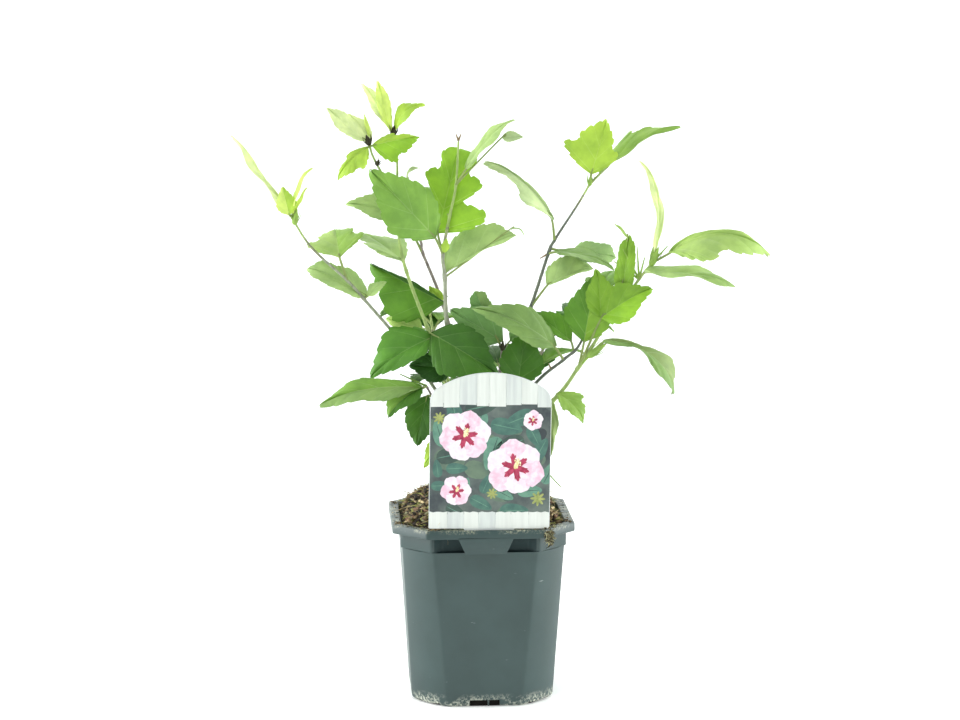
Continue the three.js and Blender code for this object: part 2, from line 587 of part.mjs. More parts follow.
function makeBlade(leaf, base) {
  const { length, midrib, normal, edge } = bladeShape(leaf, base);
  const outline = EDGES[leaf.edge ?? 'oval'];
  const [wideRight, wideLeft] = Array.isArray(leaf.wide) ? leaf.wide : [leaf.wide ?? 1, leaf.wide ?? 1];
  const half = Math.max(length * LEAF_THICKNESS, 0.4) / 2;
  const points = [];
  const addPoint = (point, u) => {
    const lift = normal(u).multiplyScalar(half);
    points.push(point.clone().add(lift), point.clone().sub(lift));
    return points.length / 2 - 1;
  };
  const last = outline.length + 1;
  const middle = [addPoint(midrib(0), 0)];
  const right = [middle[0]];
  const left = [middle[0]];
  for (const [u, v, foot] of outline) {
    middle.push(addPoint(midrib(foot), foot));
    right.push(addPoint(edge(u, v * wideRight, 1), u));
    left.push(addPoint(edge(u, v * wideLeft, -1), u));
  }
  middle.push(addPoint(midrib(1), 1));
  right.push(middle[last]);
  left.push(middle[last]);

  const faces = [];
  const bothSides = (a, b, c) => {
    if (a === b || b === c || c === a) return;
    faces.push([2 * a, 2 * b, 2 * c], [2 * a + 1, 2 * c + 1, 2 * b + 1]);
  };
  const rim = (a, b) => {
    faces.push([2 * b, 2 * a, 2 * a + 1], [2 * b, 2 * a + 1, 2 * b + 1]);
  };
  for (let k = 0; k < last; k += 1) {
    bothSides(middle[k], right[k], right[k + 1]);
    bothSides(middle[k], right[k + 1], middle[k + 1]);
    bothSides(middle[k], middle[k + 1], left[k + 1]);
    bothSides(middle[k], left[k + 1], left[k]);
    rim(right[k], right[k + 1]);
    rim(left[k + 1], left[k]);
  }
  return solidOf(points, faces);
}

// A leaf with its stalk, from the limb's middle to a little way up the midrib
function makeLeaf(leaf, limb) {
  const root = pointOnPath(limb.path, leaf.at);
  const base = root.clone().add(vector(leaf.stalk));
  const { midrib } = bladeShape(leaf, base);
  const stalk = taperedTube([root, base, midrib(STALK_END)], ...STALK_RADII, 3);
  return makeBlade(leaf, base).add(stalk);
}

// A thin stalk or bract that tapers to a point, and rises by its arch halfway
function makeSpike(spike, limb) {
  const root = pointOnPath(limb.path, spike.at);
  const body = vector(spike.body);
  const middle = root.clone().addScaledVector(body, 0.5);
  middle.z += spike.arch ?? 0;
  const points = [root, middle, root.clone().add(body)];
  return taperedTube(points, ...SPIKE_RADII, 3);
}

function makeBud(bud, limb) {
  const root = pointOnPath(limb.path, bud.at);
  const base = root.clone().add(vector(bud.stalk ?? [0, 0, 0]));
  const body = vector(bud.body);
  const along = BUD_SHARES.map((share) => base.clone().addScaledVector(body, share));
  const lower = taperedTube(along.slice(0, 2), BUD_FOOT_RADIUS, bud.radius, 6);
  const upper = taperedTube(along.slice(1), bud.radius, BUD_TIP_RADIUS, 6);
  const whole = lower.add(upper);
  if (!bud.stalk) return whole;
  const stalkTop = base.clone().addScaledVector(body, STALK_END);
  return whole.add(taperedTube([root, stalkTop], ...STALK_RADII, 3));
}

// The same chances each time, from a whole number
function seededChance(seed) {
  let state = seed;
  return () => {
    state = (state * 1664525 + 1013904223) % 4294967296;
    return state / 4294967296;
  };
}

function grownLeaves(limb) {
  const { seed, count, from, heading, fan } = limb.grown;
  const chance = seededChance(seed);
  const tip = limb.path.length - 1;
  return Array.from({ length: count }, (_, k) => {
    const share = 2 * (((k + 1) * GOLDEN_SHARE) % 1) - 1 + FAN_SCATTER * (chance() - 0.5);
    const turn = radians(heading + fan * share);
    const rise = radians(THREE.MathUtils.lerp(...GROWN_RISE_DEGREES, chance()));
    const length = THREE.MathUtils.lerp(...GROWN_BLADE, chance());
    const out = new THREE.Vector3(Math.cos(turn), Math.sin(turn), 0);
    const blade = out.clone().multiplyScalar(Math.cos(rise)).setZ(Math.sin(rise));
    return {
      at: THREE.MathUtils.lerp(from, tip, k / (count - 1)),
      stalk: out.multiplyScalar(GROWN_STALK).setZ(GROWN_STALK * 0.7).toArray(),
      blade: blade.multiplyScalar(length).toArray(),
      face: [0, 0.05, 1],
      arch: 0.12 * length,
      edge: 'lobed',
    };
  });
}

const leavesOf = (limb) => (limb.grown ? grownLeaves(limb) : limb.leaves);

// The limb beyond its bough, a little clear of the bough's end
function makeMassStem({ path, bare, radii }) {
  const tip = path.length - 1;
  const nearby = pointOnPath(path, bare).distanceTo(pointOnPath(path, bare + 0.01)) / 0.01;
  const start = bare + BOUGH_GAP / nearby;
  const thick = THREE.MathUtils.lerp(radii[0], radii[1], bare / tip);
  return taperedTube(pathStretch(path, start, tip, Math.ceil((tip - start) * 3)), thick, radii[1], 5);
}

// A mass: its stem, with every leaf that keeps clear of the other solids fused on
function makeMass(limb, stem, others) {
  const keepsClear = (solid) => others.every((other) => solid.minGap(other, 1) >= CLEAR);
  const skipped = [];
  let mass = stem;
  leavesOf(limb).forEach((leaf, index) => {
    const solid = makeLeaf(leaf, limb);
    if (keepsClear(solid)) mass = mass.add(solid);
    else skipped.push(index);
  });
  for (const spike of limb.spikes ?? []) mass = mass.add(makeSpike(spike, limb));
  for (const bud of limb.buds ?? []) mass = mass.add(makeBud(bud, limb));
  return { solid: wholePiece(mass), skipped };
}

// Assembly

const finishes = {
  pot: { color: 0x53636a, roughness: 0.42 },
  soil: { color: 0x4a3826, roughness: 0.95 },
  label: { color: 0xf2f5f5, roughness: 0.4 },
  bark: { color: 0x8d8676, roughness: 0.8 },
  leaf: { color: 0x6fa843, roughness: 0.55 },
};

const group = new THREE.Group();

function addPart(name, solid, finish, userData = {}) {
  const material = new THREE.MeshStandardMaterial({ ...finishes[finish], metalness: 0 });
  const mesh = new THREE.Mesh(geometryOf(solid), material);
  mesh.name = name;
  mesh.userData = userData;
  group.add(mesh);
  return solid;
}

const solids = [
  addPart('pot', makePot(), 'pot'),
  addPart('soil', makeSoil(), 'soil'),
  addPart('label', makeLabel(), 'label'),
  addPart('main_stem', makeStem(), 'bark'),
];

const grownStem = taperedTube([stemAxis[0], vector(STEM_TOP).setZ(STEM_TOP[2] + CLEAR)],
  STEM_RADII[0] + CLEAR, STEM_RADII[1] + CLEAR, 12);
for (const [name, limb] of Object.entries(LIMBS)) {
  solids.push(addPart(`bough_${name}`, makeBough(limb, grownStem), 'bark'));
}
const massStems = Object.values(LIMBS).map(makeMassStem);
for (const [name, limb] of Object.entries(LIMBS)) {
  const stem = massStems.shift();
  const { solid, skipped } = makeMass(limb, stem, [...solids, ...massStems]);
  solids.push(addPart(`foliage_${name}`, solid, 'leaf', { skipped }));
}

export default group;
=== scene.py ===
# %% [markdown]
# A young hibiscus shrub in its nursery pot
#
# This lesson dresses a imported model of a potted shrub. The model gives the sizes: a square pot with
# clipped corners, a root ball, a card in the rim, a short stem and thirteen limbs. Each limb is a bare
# bough first and carries leaves further out. The lesson makes the finer pieces that a camera sees, and
# puts each one exactly where the plain solid is.

import math
import random

import bpy
import numpy as np
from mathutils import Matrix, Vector, noise


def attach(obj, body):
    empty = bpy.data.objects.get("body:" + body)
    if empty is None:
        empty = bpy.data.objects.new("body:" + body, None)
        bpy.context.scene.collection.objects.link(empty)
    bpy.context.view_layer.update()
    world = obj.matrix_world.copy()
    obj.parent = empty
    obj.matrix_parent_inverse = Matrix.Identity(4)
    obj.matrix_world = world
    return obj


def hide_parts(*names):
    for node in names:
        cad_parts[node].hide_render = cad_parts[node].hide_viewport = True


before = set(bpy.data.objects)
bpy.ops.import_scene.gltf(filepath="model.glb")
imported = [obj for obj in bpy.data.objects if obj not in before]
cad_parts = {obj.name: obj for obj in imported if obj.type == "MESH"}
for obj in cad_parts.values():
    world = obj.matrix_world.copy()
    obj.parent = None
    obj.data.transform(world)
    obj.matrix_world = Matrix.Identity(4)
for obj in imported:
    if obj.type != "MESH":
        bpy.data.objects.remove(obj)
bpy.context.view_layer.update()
print("nodes in the frame:", len(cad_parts))

# %% [markdown]
# The camera stands a little over two metres in front of the pot and looks slightly down. A long lens
# keeps the sides of the pot nearly parallel, as on a picture for a plant catalogue.

# %% Camera
CAMERA_PLACE = (0, -2.15, 0.604)
CAMERA_TILT_DEGREES = 8.8
CAMERA_LENS = 101.6

camera_data = bpy.data.cameras.new("camera")
camera_data.sensor_width = 36
camera_data.lens = CAMERA_LENS
camera_data.clip_start = 0.05
camera = bpy.data.objects.new("camera", camera_data)
camera.location = CAMERA_PLACE
camera.rotation_euler = (math.radians(90 - CAMERA_TILT_DEGREES), 0, 0)
bpy.context.scene.collection.objects.link(camera)
bpy.context.scene.camera = camera
print("camera lens in millimetres:", camera_data.lens)

# %% [markdown]
# Colours are easiest to choose as a picture shows them, from 0 to 255. Blender calculates with light
# itself, so one helper turns a picture's tone into the linear value that a shader wants.

# %% Colour helper
MM = 0.001


def tone(red, green, blue):
    """A picture's colour as the linear value that a shader takes"""
    linear = []
    for value in (red, green, blue):
        share = value / 255
        linear.append(share / 12.92 if share < 0.04 else ((share + 0.055) / 1.055) ** 2.4)
    return (*linear, 1.0)


print("mid grey in linear light:", round(tone(128, 128, 128)[0], 3))

# %% [markdown]
# Two shader groups serve many materials. The first mixes two tones in soft patches, because nothing that
# grows or has been handled is one flat colour. The second lays a third tone over a surface between two
# heights, for the lime that dries on the pot's foot and rim.

# %% Shader groups
def new_group(name, inputs, outputs):
    """A node group with the named sockets, and its two end nodes"""
    group = bpy.data.node_groups.new(name, "ShaderNodeTree")
    for title, kind, value in inputs:
        socket = group.interface.new_socket(title, in_out="INPUT", socket_type=kind)
        socket.default_value = value
    for title, kind in outputs:
        group.interface.new_socket(title, in_out="OUTPUT", socket_type=kind)
    return group, group.nodes.new("NodeGroupInput"), group.nodes.new("NodeGroupOutput")


def add_node(tree, kind, settings=None, links=None):
    """A node with its settings, and with links from other nodes' sockets to its inputs"""
    node = tree.nodes.new(kind)
    for key, value in (settings or {}).items():
        if hasattr(node, key):
            setattr(node, key, value)
        else:
            node.inputs[key].default_value = value
    for key, socket in (links or {}).items():
        tree.links.new(socket, node.inputs[key])
    return node


def mix_colours(tree, factor, first, second):
    """A Mix node for two colours; each input is a socket or a plain value"""
    node = tree.nodes.new("ShaderNodeMix")
    node.data_type = "RGBA"
    for index, source in ((0, factor), (6, first), (7, second)):
        if hasattr(source, "is_linked"):
            tree.links.new(source, node.inputs[index])
        else:
            node.inputs[index].default_value = source
    return node.outputs[2]


def span(tree, value, low, high):
    """A value stretched so that low gives 0 and high gives 1"""
    node = add_node(tree, "ShaderNodeMapRange", {"From Min": low, "From Max": high}, {"Value": value})
    return node.outputs["Result"]


def product(tree, first, second):
    """Two values multiplied"""
    return add_node(tree, "ShaderNodeMath", {"operation": "MULTIPLY"}, {0: first, 1: second}).outputs[0]


def make_patch_group():
    """Two tones in soft patches, and the patches' height for a bump"""
    group, start, end = new_group("soft_patches", [
        ("Light Tone", "NodeSocketColor", (1, 1, 1, 1)), ("Dark Tone", "NodeSocketColor", (0, 0, 0, 1)),
        ("Patches per Metre", "NodeSocketFloat", 80.0), ("Stretch", "NodeSocketVector", (1, 1, 1)),
    ], [("Color", "NodeSocketColor"), ("Height", "NodeSocketFloat")])
    place = add_node(group, "ShaderNodeTexCoord").outputs["Object"]
    moved = add_node(group, "ShaderNodeVectorMath", {"operation": "MULTIPLY"},
                     {0: place, 1: start.outputs["Stretch"]})
    grain = add_node(group, "ShaderNodeTexNoise", {"Detail": 4.0, "Roughness": 0.6}, {
        "Vector": moved.outputs[0], "Scale": start.outputs["Patches per Metre"]})
    share = span(group, grain.outputs["Fac"], 0.36, 0.64)
    colour = mix_colours(group, share, start.outputs["Dark Tone"], start.outputs["Light Tone"])
    group.links.new(colour, end.inputs["Color"])
    group.links.new(grain.outputs["Fac"], end.inputs["Height"])
    return group


def make_dust_group():
    """Broken specks between two heights, strongest at the lower one"""
    group, start, end = new_group("lime_specks", [
        ("Surface", "NodeSocketColor", (1, 1, 1, 1)), ("Lime", "NodeSocketColor", (1, 1, 1, 1)),
        ("Full Height", "NodeSocketFloat", 0.0), ("Clean Height", "NodeSocketFloat", 0.01),
        ("Cover", "NodeSocketFloat", 0.5), ("Specks per Metre", "NodeSocketFloat", 400.0),
    ], [("Color", "NodeSocketColor"), ("Mask", "NodeSocketFloat")])
    place = add_node(group, "ShaderNodeTexCoord").outputs["Object"]
    height = add_node(group, "ShaderNodeSeparateXYZ", links={"Vector": place}).outputs["Z"]
    fade = add_node(group, "ShaderNodeMapRange", {"To Min": 1.0, "To Max": 0.0}, {
        "Value": height, "From Min": start.outputs["Full Height"], "From Max": start.outputs["Clean Height"]})
    grain = add_node(group, "ShaderNodeTexNoise", {"Detail": 6.0, "Roughness": 0.75}, {
        "Vector": place, "Scale": start.outputs["Specks per Metre"]})
    broad = add_node(group, "ShaderNodeTexNoise", {"Scale": 60.0, "Detail": 2.0}, {"Vector": place})
    speck = product(group, span(group, grain.outputs["Fac"], 0.47, 0.58),
                    span(group, broad.outputs["Fac"], 0.4, 0.54))
    mask = product(group, product(group, speck, fade.outputs["Result"]), start.outputs["Cover"])
    colour = mix_colours(group, mask, start.outputs["Surface"], start.outputs["Lime"])
    group.links.new(colour, end.inputs["Color"])
    group.links.new(mask, end.inputs["Mask"])
    return group


soft_patches = make_patch_group()
lime_specks = make_dust_group()
print("shader groups:", [soft_patches.name, lime_specks.name])

# %% [markdown]
# Every finish starts the same way: a plain shader, two tones in patches, and a bump from the same
# patches. What is even all over a surface, such as its gloss, is set on the shader's own socket.

# %% Finish helper
def add_group(tree, group, values):
    """A group node in a material, with its values set"""
    node = tree.nodes.new("ShaderNodeGroup")
    node.node_tree = group
    for key, value in values.items():
        node.inputs[key].default_value = value
    return node


def make_finish(name, light, dark, roughness, patches=80.0, stretch=(1, 1, 1), bump=0.1,
                bump_mm=0.2, specular=0.5):
    """A material with two tones in patches, and the nodes that other cells build on"""
    material = bpy.data.materials.new(name)
    material.use_nodes = True
    tree = material.node_tree
    shader = tree.nodes["Principled BSDF"]
    shader.inputs["Roughness"].default_value = roughness
    shader.inputs["Specular IOR Level"].default_value = specular
    patch = add_group(tree, soft_patches, {
        "Light Tone": light, "Dark Tone": dark, "Patches per Metre": patches, "Stretch": stretch})
    tree.links.new(patch.outputs["Color"], shader.inputs["Base Color"])
    relief = add_node(tree, "ShaderNodeBump", {"Strength": bump, "Distance": bump_mm * MM}, {
        "Height": patch.outputs["Height"]})
    tree.links.new(relief.outputs["Normal"], shader.inputs["Normal"])
    material.diffuse_color = light
    return material, tree, shader, patch


def make_finishes(table, stretch=(1, 1, 1)):
    """Materials from rows of names, tones and numbers"""
    return [make_finish(name, tone(*light), tone(*dark), roughness, patches, stretch, bump, bump_mm)[0]
            for name, light, dark, roughness, patches, bump, bump_mm in table]


print("finishes start from:", soft_patches.name)

# %% [markdown]
# The stage is a pale floor that sweeps up into a pale wall far behind. Large soft lights stand on the
# left, on the right and overhead, and a narrow strip stands on each side of the camera. The pot's rounded
# corners mirror these lights, so they look lighter than its front.

# %% Floor and light
FLOOR_FRONT = -2.6
FLOOR_HALF_WIDTH = 3.0
# A row of points here keeps the shading of the floor in front of it even
FLOOR_EVEN_TO = 0.34
SWEEP_START = FLOOR_EVEN_TO + 0.9
SWEEP_RADIUS = 0.8
SWEEP_STEPS = 8
WALL_HEIGHT = 3.2
FLOOR_GLOW = 0.16


def make_floor():
    """A floor that bends up into a wall"""
    profile = [(FLOOR_FRONT, 0.0), (FLOOR_EVEN_TO, 0.0), (SWEEP_START, 0.0)]
    for step in range(1, SWEEP_STEPS + 1):
        angle = math.radians(90 * step / SWEEP_STEPS)
        profile.append((SWEEP_START + SWEEP_RADIUS * math.sin(angle), SWEEP_RADIUS * (1 - math.cos(angle))))
    profile.append((SWEEP_START + SWEEP_RADIUS, WALL_HEIGHT))
    points = [(side * FLOOR_HALF_WIDTH, y, z) for y, z in profile for side in (-1, 1)]
    faces = [(2 * k, 2 * k + 1, 2 * k + 3, 2 * k + 2) for k in range(len(profile) - 1)]
    mesh = bpy.data.meshes.new("floor")
    mesh.from_pydata(points, [], faces)
    mesh.polygons.foreach_set("use_smooth", [True] * len(faces))
    floor = bpy.data.objects.new("floor", mesh)
    bpy.context.scene.collection.objects.link(floor)
    paper, _, shader, _ = make_finish("floor_paper", tone(252, 254, 253), tone(250, 253, 252), 0.8,
                                      patches=2.0, bump=0)
    shader.inputs["Emission Color"].default_value = tone(255, 255, 254)
    shader.inputs["Emission Strength"].default_value = FLOOR_GLOW
    mesh.materials.append(paper)


def add_soft_light(name, place, target, width, height, power):
    """A rectangular white light that looks at a point"""
    data = bpy.data.lights.new(name, "AREA")
    data.shape = "RECTANGLE"
    data.size = width
    data.size_y = height
    data.energy = power
    light = bpy.data.objects.new(name, data)
    light.location = place
    light.rotation_euler = (Vector(target) - Vector(place)).to_track_quat("-Z", "Y").to_euler()
    bpy.context.scene.collection.objects.link(light)


make_floor()
add_soft_light("left_light", (-1.6, 0.1, 0.6), (0, 0, 0.2), 1.1, 1.3, 32)
add_soft_light("right_light", (1.6, 0.1, 0.6), (0, 0, 0.2), 1.1, 1.3, 28)
add_soft_light("left_strip", (-1.25, -1.65, 0.65), (0, 0, 0.1), 0.28, 1.3, 6)
add_soft_light("right_strip", (1.25, -1.65, 0.65), (0, 0, 0.1), 0.28, 1.3, 6)
add_soft_light("top_light", (-0.4, -0.8, 2.2), (0, 0, 0.25), 1.8, 1.4, 15)
add_soft_light("back_light", (0, 1.5, 2.0), (0, 0, 0.3), 2.4, 1.0, 10)

WORLD_TINT = (0.93, 1.0, 0.98, 1)
WORLD_LIGHT = 0.43

world = bpy.data.worlds.new("studio")
world.use_nodes = True
background = world.node_tree.nodes["Background"]
background.inputs["Color"].default_value = WORLD_TINT
background.inputs["Strength"].default_value = WORLD_LIGHT
bpy.context.scene.world = world
bpy.context.scene.view_settings.view_transform = "Standard"
print("lights:", len(bpy.data.lights))

# %% [markdown]
# Most pieces here are many small shapes that count as one, such as all leaves of a limb. A pile collects
# points and faces with the number of a finish for each face, and becomes one mesh object at the end.

# %% Pile of points and faces
class Pile:
    """Points, faces and finish numbers that become one mesh"""

    def __init__(self):
        self.points = []
        self.faces = []
        self.finishes = []
        self.count = 0

    def add(self, points, faces, finish=0):
        """Adds a shape; finish is one number, or one for each face"""
        start = self.count
        self.points.extend(points)
        self.count += len(points)
        self.faces.extend(tuple(start + index for index in face) for face in faces)
        self.finishes.extend(finish if isinstance(finish, list) else [finish] * len(faces))

    def make(self, name, materials, sharp_degrees=None):
        """The mesh object, riding on the body and smooth between its sharp edges"""
        mesh = bpy.data.meshes.new(name)
        mesh.from_pydata([tuple(point) for point in self.points], [], self.faces)
        used = sorted(set(self.finishes)) if materials else []
        for number in used:
            mesh.materials.append(materials[number])
        if used:
            mesh.polygons.foreach_set("material_index", [used.index(number) for number in self.finishes])
        mesh.polygons.foreach_set("use_smooth", [True] * len(self.faces))
        if sharp_degrees is not None:
            mesh.set_sharp_from_angle(angle=math.radians(sharp_degrees))
        mesh.validate()
        piece = bpy.data.objects.new(name, mesh)
        bpy.context.scene.collection.objects.link(piece)
        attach(piece, "root")
        return piece


def loft_faces(rings, sides):
    """Faces between rings of points"""
    faces = []
    for ring in range(rings - 1):
        for k in range(sides):
            a = ring * sides + k
            b = ring * sides + (k + 1) % sides
            faces.append((a, b, b + sides, a + sides))
    return faces


def closed_loft_faces(rings, sides):
    """Faces between rings of points, with a flat cap at each end"""
    last = (rings - 1) * sides
    caps = [tuple(reversed(range(sides))), tuple(range(last, last + sides))]
    return loft_faces(rings, sides) + caps


print("faces of a closed loft through two rings of four points:", len(closed_loft_faces(2, 4)))

# %% [markdown]
# The pot is moulded in one thin wall of plastic: a square with clipped corners at the rim, a collar
# under it, and a body whose corners are rounded and whose flats grow narrower towards the foot. It is
# lofted through rings, as the plain solid is, but with many more rings and a small round on each edge.

# %% Pot sizes
POT_HEIGHT = 147
RIM_WIDTH = 145
RIM_CLIP = 26
LIP_DROP = 7
LIP_OVERHANG = 6.5
COLLAR_HEIGHT = 19.5
BODY_TOP_WIDTH = 129.5
BODY_FOOT_WIDTH = 114
FOOT_BEVEL = 4
STAND_WIDTH = 100
STAND_HOLLOW = 0.6
MIDDLE_WIDTH = 8
WALL = 1.6
POT_TURN_DEGREES = 3.8
POCKET_TOP_WIDTH = 44
POCKET_FOOT_WIDTH = 32
POCKET_DROP = 12
DRAIN_COUNT = 8
DRAIN_WIDTH = 24
DRAIN_DEPTH = 27
DRAIN_HEIGHT = 5.6
# The tool that cuts a drain starts this far outside the pot
DRAIN_START = 6

RIM_CORNER = {"clip": RIM_CLIP}
COLLAR_CORNER = {"clip": RIM_CLIP - 3}
BODY_TOP_CORNER = {"round": 1.185}
BODY_FOOT_CORNER = {"round": 1.13}
EDGE_ROUND = 0.9
RECESS = 6
# Where a ring has its points: on the way from a flat's middle to its edge, then on to the corner's middle
FLAT_SHARES = [0, 0.25, 0.5, 0.7, 0.84, 0.885, 0.91, 0.94, 0.965, 0.985, 0.993]
CORNER_SHARES = [0, 0.008, 0.02, 0.035, 0.12, 0.3, 0.5, 0.75, 1]
RECESS_SHARE = 0.985
RECESS_SLOPE = 0.1

collar_width = RIM_WIDTH - 2 * LIP_OVERHANG
collar_top = POT_HEIGHT - WALL
lip_foot = POT_HEIGHT - LIP_DROP
body_top = POT_HEIGHT - COLLAR_HEIGHT
print("points in a ring of the pot:", 8 * (len(FLAT_SHARES) + len(CORNER_SHARES) - 1))

# %% Pot rings
def soft_least(first, second, blend):
    """The smaller of two reaches, rounded where they meet"""
    near = max(blend - abs(first - second), 0) / blend
    return min(first, second) - near * near * blend / 4


def edge_degrees(half, corner):
    """Direction of the edge between a flat and its corner"""
    if "clip" in corner:
        return math.degrees(math.atan((half - corner["clip"]) / half))
    return math.degrees(math.acos(1 / corner["round"]))


def corner_reach(half, corner, degrees, recess=0):
    """How far a ring goes from the axis in one direction of its quarter"""
    angle = math.radians(degrees)
    from_edge = RECESS_SHARE - min(degrees, 90 - degrees) / edge_degrees(half, corner)
    set_back = recess * min(max(from_edge / RECESS_SLOPE, 0), 1)
    flat = (half - set_back) / max(math.cos(angle), math.sin(angle))
    if "clip" in corner:
        cut = (half * 2 - corner["clip"]) / math.sqrt(2) / math.cos(angle - math.pi / 4)
    else:
        cut = half * corner["round"]
    return soft_least(flat, cut, EDGE_ROUND)


def pot_ring(width, z, corner, inset=0, recess=0):
    """One ring of the pot in millimetres; recess sets the middle of each flat back"""
    half = width / 2 - inset
    edge = edge_degrees(half, corner)
    eighth = [edge * share for share in FLAT_SHARES] + [edge + (45 - edge) * share for share in CORNER_SHARES]
    quarter = eighth + [90 - degrees for degrees in reversed(eighth[1:-1])]
    ring = []
    for side in range(4):
        for degrees in quarter:
            reach = corner_reach(half, corner, degrees, recess)
            angle = math.radians(degrees + 90 * side + POT_TURN_DEGREES)
            ring.append((reach * math.cos(angle), reach * math.sin(angle), z))
    return ring


def body_ring(share, inset=0):
    """A ring of the body, from its foot at share 0 to its top at share 1"""
    width = BODY_FOOT_WIDTH + (BODY_TOP_WIDTH - BODY_FOOT_WIDTH) * share
    bulge = BODY_FOOT_CORNER["round"] + (BODY_TOP_CORNER["round"] - BODY_FOOT_CORNER["round"]) * share
    return pot_ring(width, FOOT_BEVEL + (body_top - FOOT_BEVEL) * share, {"round": bulge}, inset)


def pot_profile():
    """All rings, from the underside up outside, over the rim and down inside"""
    underside = [(MIDDLE_WIDTH, STAND_HOLLOW), (STAND_WIDTH - 4, STAND_HOLLOW), (STAND_WIDTH, 0)]
    rings = [pot_ring(width, z, BODY_FOOT_CORNER) for width, z in underside]
    for step in range(5):
        angle = math.radians(90 * step / 4)
        width = BODY_FOOT_WIDTH - 2 * FOOT_BEVEL * (1 - math.sin(angle))
        rings.append(pot_ring(width, FOOT_BEVEL * (1 - math.cos(angle)), BODY_FOOT_CORNER))
    rings += [body_ring(step / 14) for step in range(1, 15)]
    collar = [
        (BODY_TOP_WIDTH + 0.4, body_top + 0.15, 0.5), (collar_width - 1, body_top + 0.3, 4.6),
        (collar_width - 0.3, body_top + 0.6, 5.7), (collar_width, body_top + 1.2, RECESS),
        (collar_width, lip_foot - 2, RECESS), (collar_width, lip_foot, RECESS),
        (collar_width, lip_foot + 0.5, 0), (collar_width, collar_top, 0),
    ]
    rings += [pot_ring(width, z, COLLAR_CORNER, 0, recess) for width, z, recess in collar]
    under_lip = RIM_WIDTH - 2 * WALL
    lip = [
        (under_lip, collar_top), (under_lip, lip_foot + 0.4), (under_lip + 0.8, lip_foot),
        (RIM_WIDTH - 0.8, lip_foot), (RIM_WIDTH, lip_foot + 0.4), (RIM_WIDTH, POT_HEIGHT - 1.1),
        (RIM_WIDTH - 0.6, POT_HEIGHT - 0.3), (RIM_WIDTH - 2, POT_HEIGHT),
    ]
    rings += [pot_ring(width, z, RIM_CORNER) for width, z in lip]
    inner = collar_width - 2 * WALL
    inside = [
        (inner + 3, POT_HEIGHT, 0), (inner + 1.8, POT_HEIGHT - 0.4, 0), (inner + 0.4, POT_HEIGHT - 1.6, 0),
        (inner, lip_foot + 2, 0), (inner, lip_foot + 1.2, RECESS), (inner, body_top + 1, RECESS),
    ]
    rings += [pot_ring(width, z, COLLAR_CORNER, 0, recess) for width, z, recess in inside]
    rings += [body_ring(1 - step / 4, WALL) for step in range(5)]
    return rings + [pot_ring(width, WALL, BODY_FOOT_CORNER, WALL) for width in (STAND_WIDTH, MIDDLE_WIDTH)]


pot_rings = pot_profile()
print("rings in the pot:", len(pot_rings))

# %% [markdown]
# Eight slots let water out at the foot, and four of them have a rib. A small pocket hangs under the lip at
# the front, where the card's tongue goes in. The slots are cut with a Boolean, because a ring can't have
# a gap, and the pocket is a plate with sloping sides.

# %% Pot mesh
def turned(point, degrees=POT_TURN_DEGREES):
    """A point turned about the pot's axis"""
    angle = math.radians(degrees)
    x, y, z = point
    return (x * math.cos(angle) - y * math.sin(angle), x * math.sin(angle) + y * math.cos(angle), z)


def in_metres(points):
    """Points in millimetres as points in metres"""
    return [tuple(value * MM for value in point) for point in points]


def add_closed_loft(pile, rings):
    """Adds rings of points in millimetres as one closed skin"""
    faces = closed_loft_faces(len(rings), len(rings[0]))
    pile.add(in_metres([point for ring in rings for point in ring]), faces)


def layer_faces(count, layers):
    """Faces of a closed plate whose outline stands in layers, one behind the other"""
    faces = [tuple(range(count)), tuple(reversed(range((layers - 1) * count, layers * count)))]
    for layer in range(layers - 1):
        for k in range(count):
            a = layer * count + k
            b = layer * count + (k + 1) % count
            faces.append((a, a + count, b + count, b))
    return faces


LABEL_THICKNESS = 1
LABEL_OFFSET = 2.5
LABEL_INSET = 3.5
TONGUE_TOP_WIDTH = 40
BOX_FACES = [(0, 1, 3, 2), (4, 6, 7, 5), (0, 4, 5, 1), (2, 3, 7, 6), (0, 2, 6, 4), (1, 5, 7, 3)]


def box_points(low, high):
    """The eight corners of a box"""
    return [(x, y, z) for x in (low[0], high[0]) for y in (low[1], high[1]) for z in (low[2], high[2])]


def cut_drains(piece):
    """Cuts the drains and the card's slot with one Boolean and bakes the result into the mesh"""
    tool = Pile()
    for k in range(DRAIN_COUNT):
        front = -BODY_FOOT_WIDTH / 2 - DRAIN_START
        corners = box_points((-DRAIN_WIDTH / 2, front, -DRAIN_HEIGHT),
                             (DRAIN_WIDTH / 2, front + DRAIN_DEPTH, DRAIN_HEIGHT))
        turn = POT_TURN_DEGREES + 360 * k / DRAIN_COUNT
        tool.add(in_metres([turned(point, turn) for point in corners]), BOX_FACES)
    slot_y = LABEL_INSET - RIM_WIDTH / 2
    slot = box_points((LABEL_OFFSET - TONGUE_TOP_WIDTH / 2 - 1, slot_y - LABEL_THICKNESS, lip_foot + 4),
                      (LABEL_OFFSET + TONGUE_TOP_WIDTH / 2 + 1, slot_y + LABEL_THICKNESS, POT_HEIGHT + 4))
    tool.add(in_metres([turned(point) for point in slot]), BOX_FACES)
    mesh = bpy.data.meshes.new("drain_tool")
    mesh.from_pydata(tool.points, [], tool.faces)
    cutter = bpy.data.objects.new("drain_tool", mesh)
    bpy.context.scene.collection.objects.link(cutter)
    cut = piece.modifiers.new("drains", "BOOLEAN")
    cut.operation = "DIFFERENCE"
    cut.solver = "EXACT"
    cut.object = cutter
    shape = bpy.data.meshes.new_from_object(piece.evaluated_get(bpy.context.evaluated_depsgraph_get()))
    piece.modifiers.clear()
    piece.data = shape
    bpy.data.objects.remove(cutter)


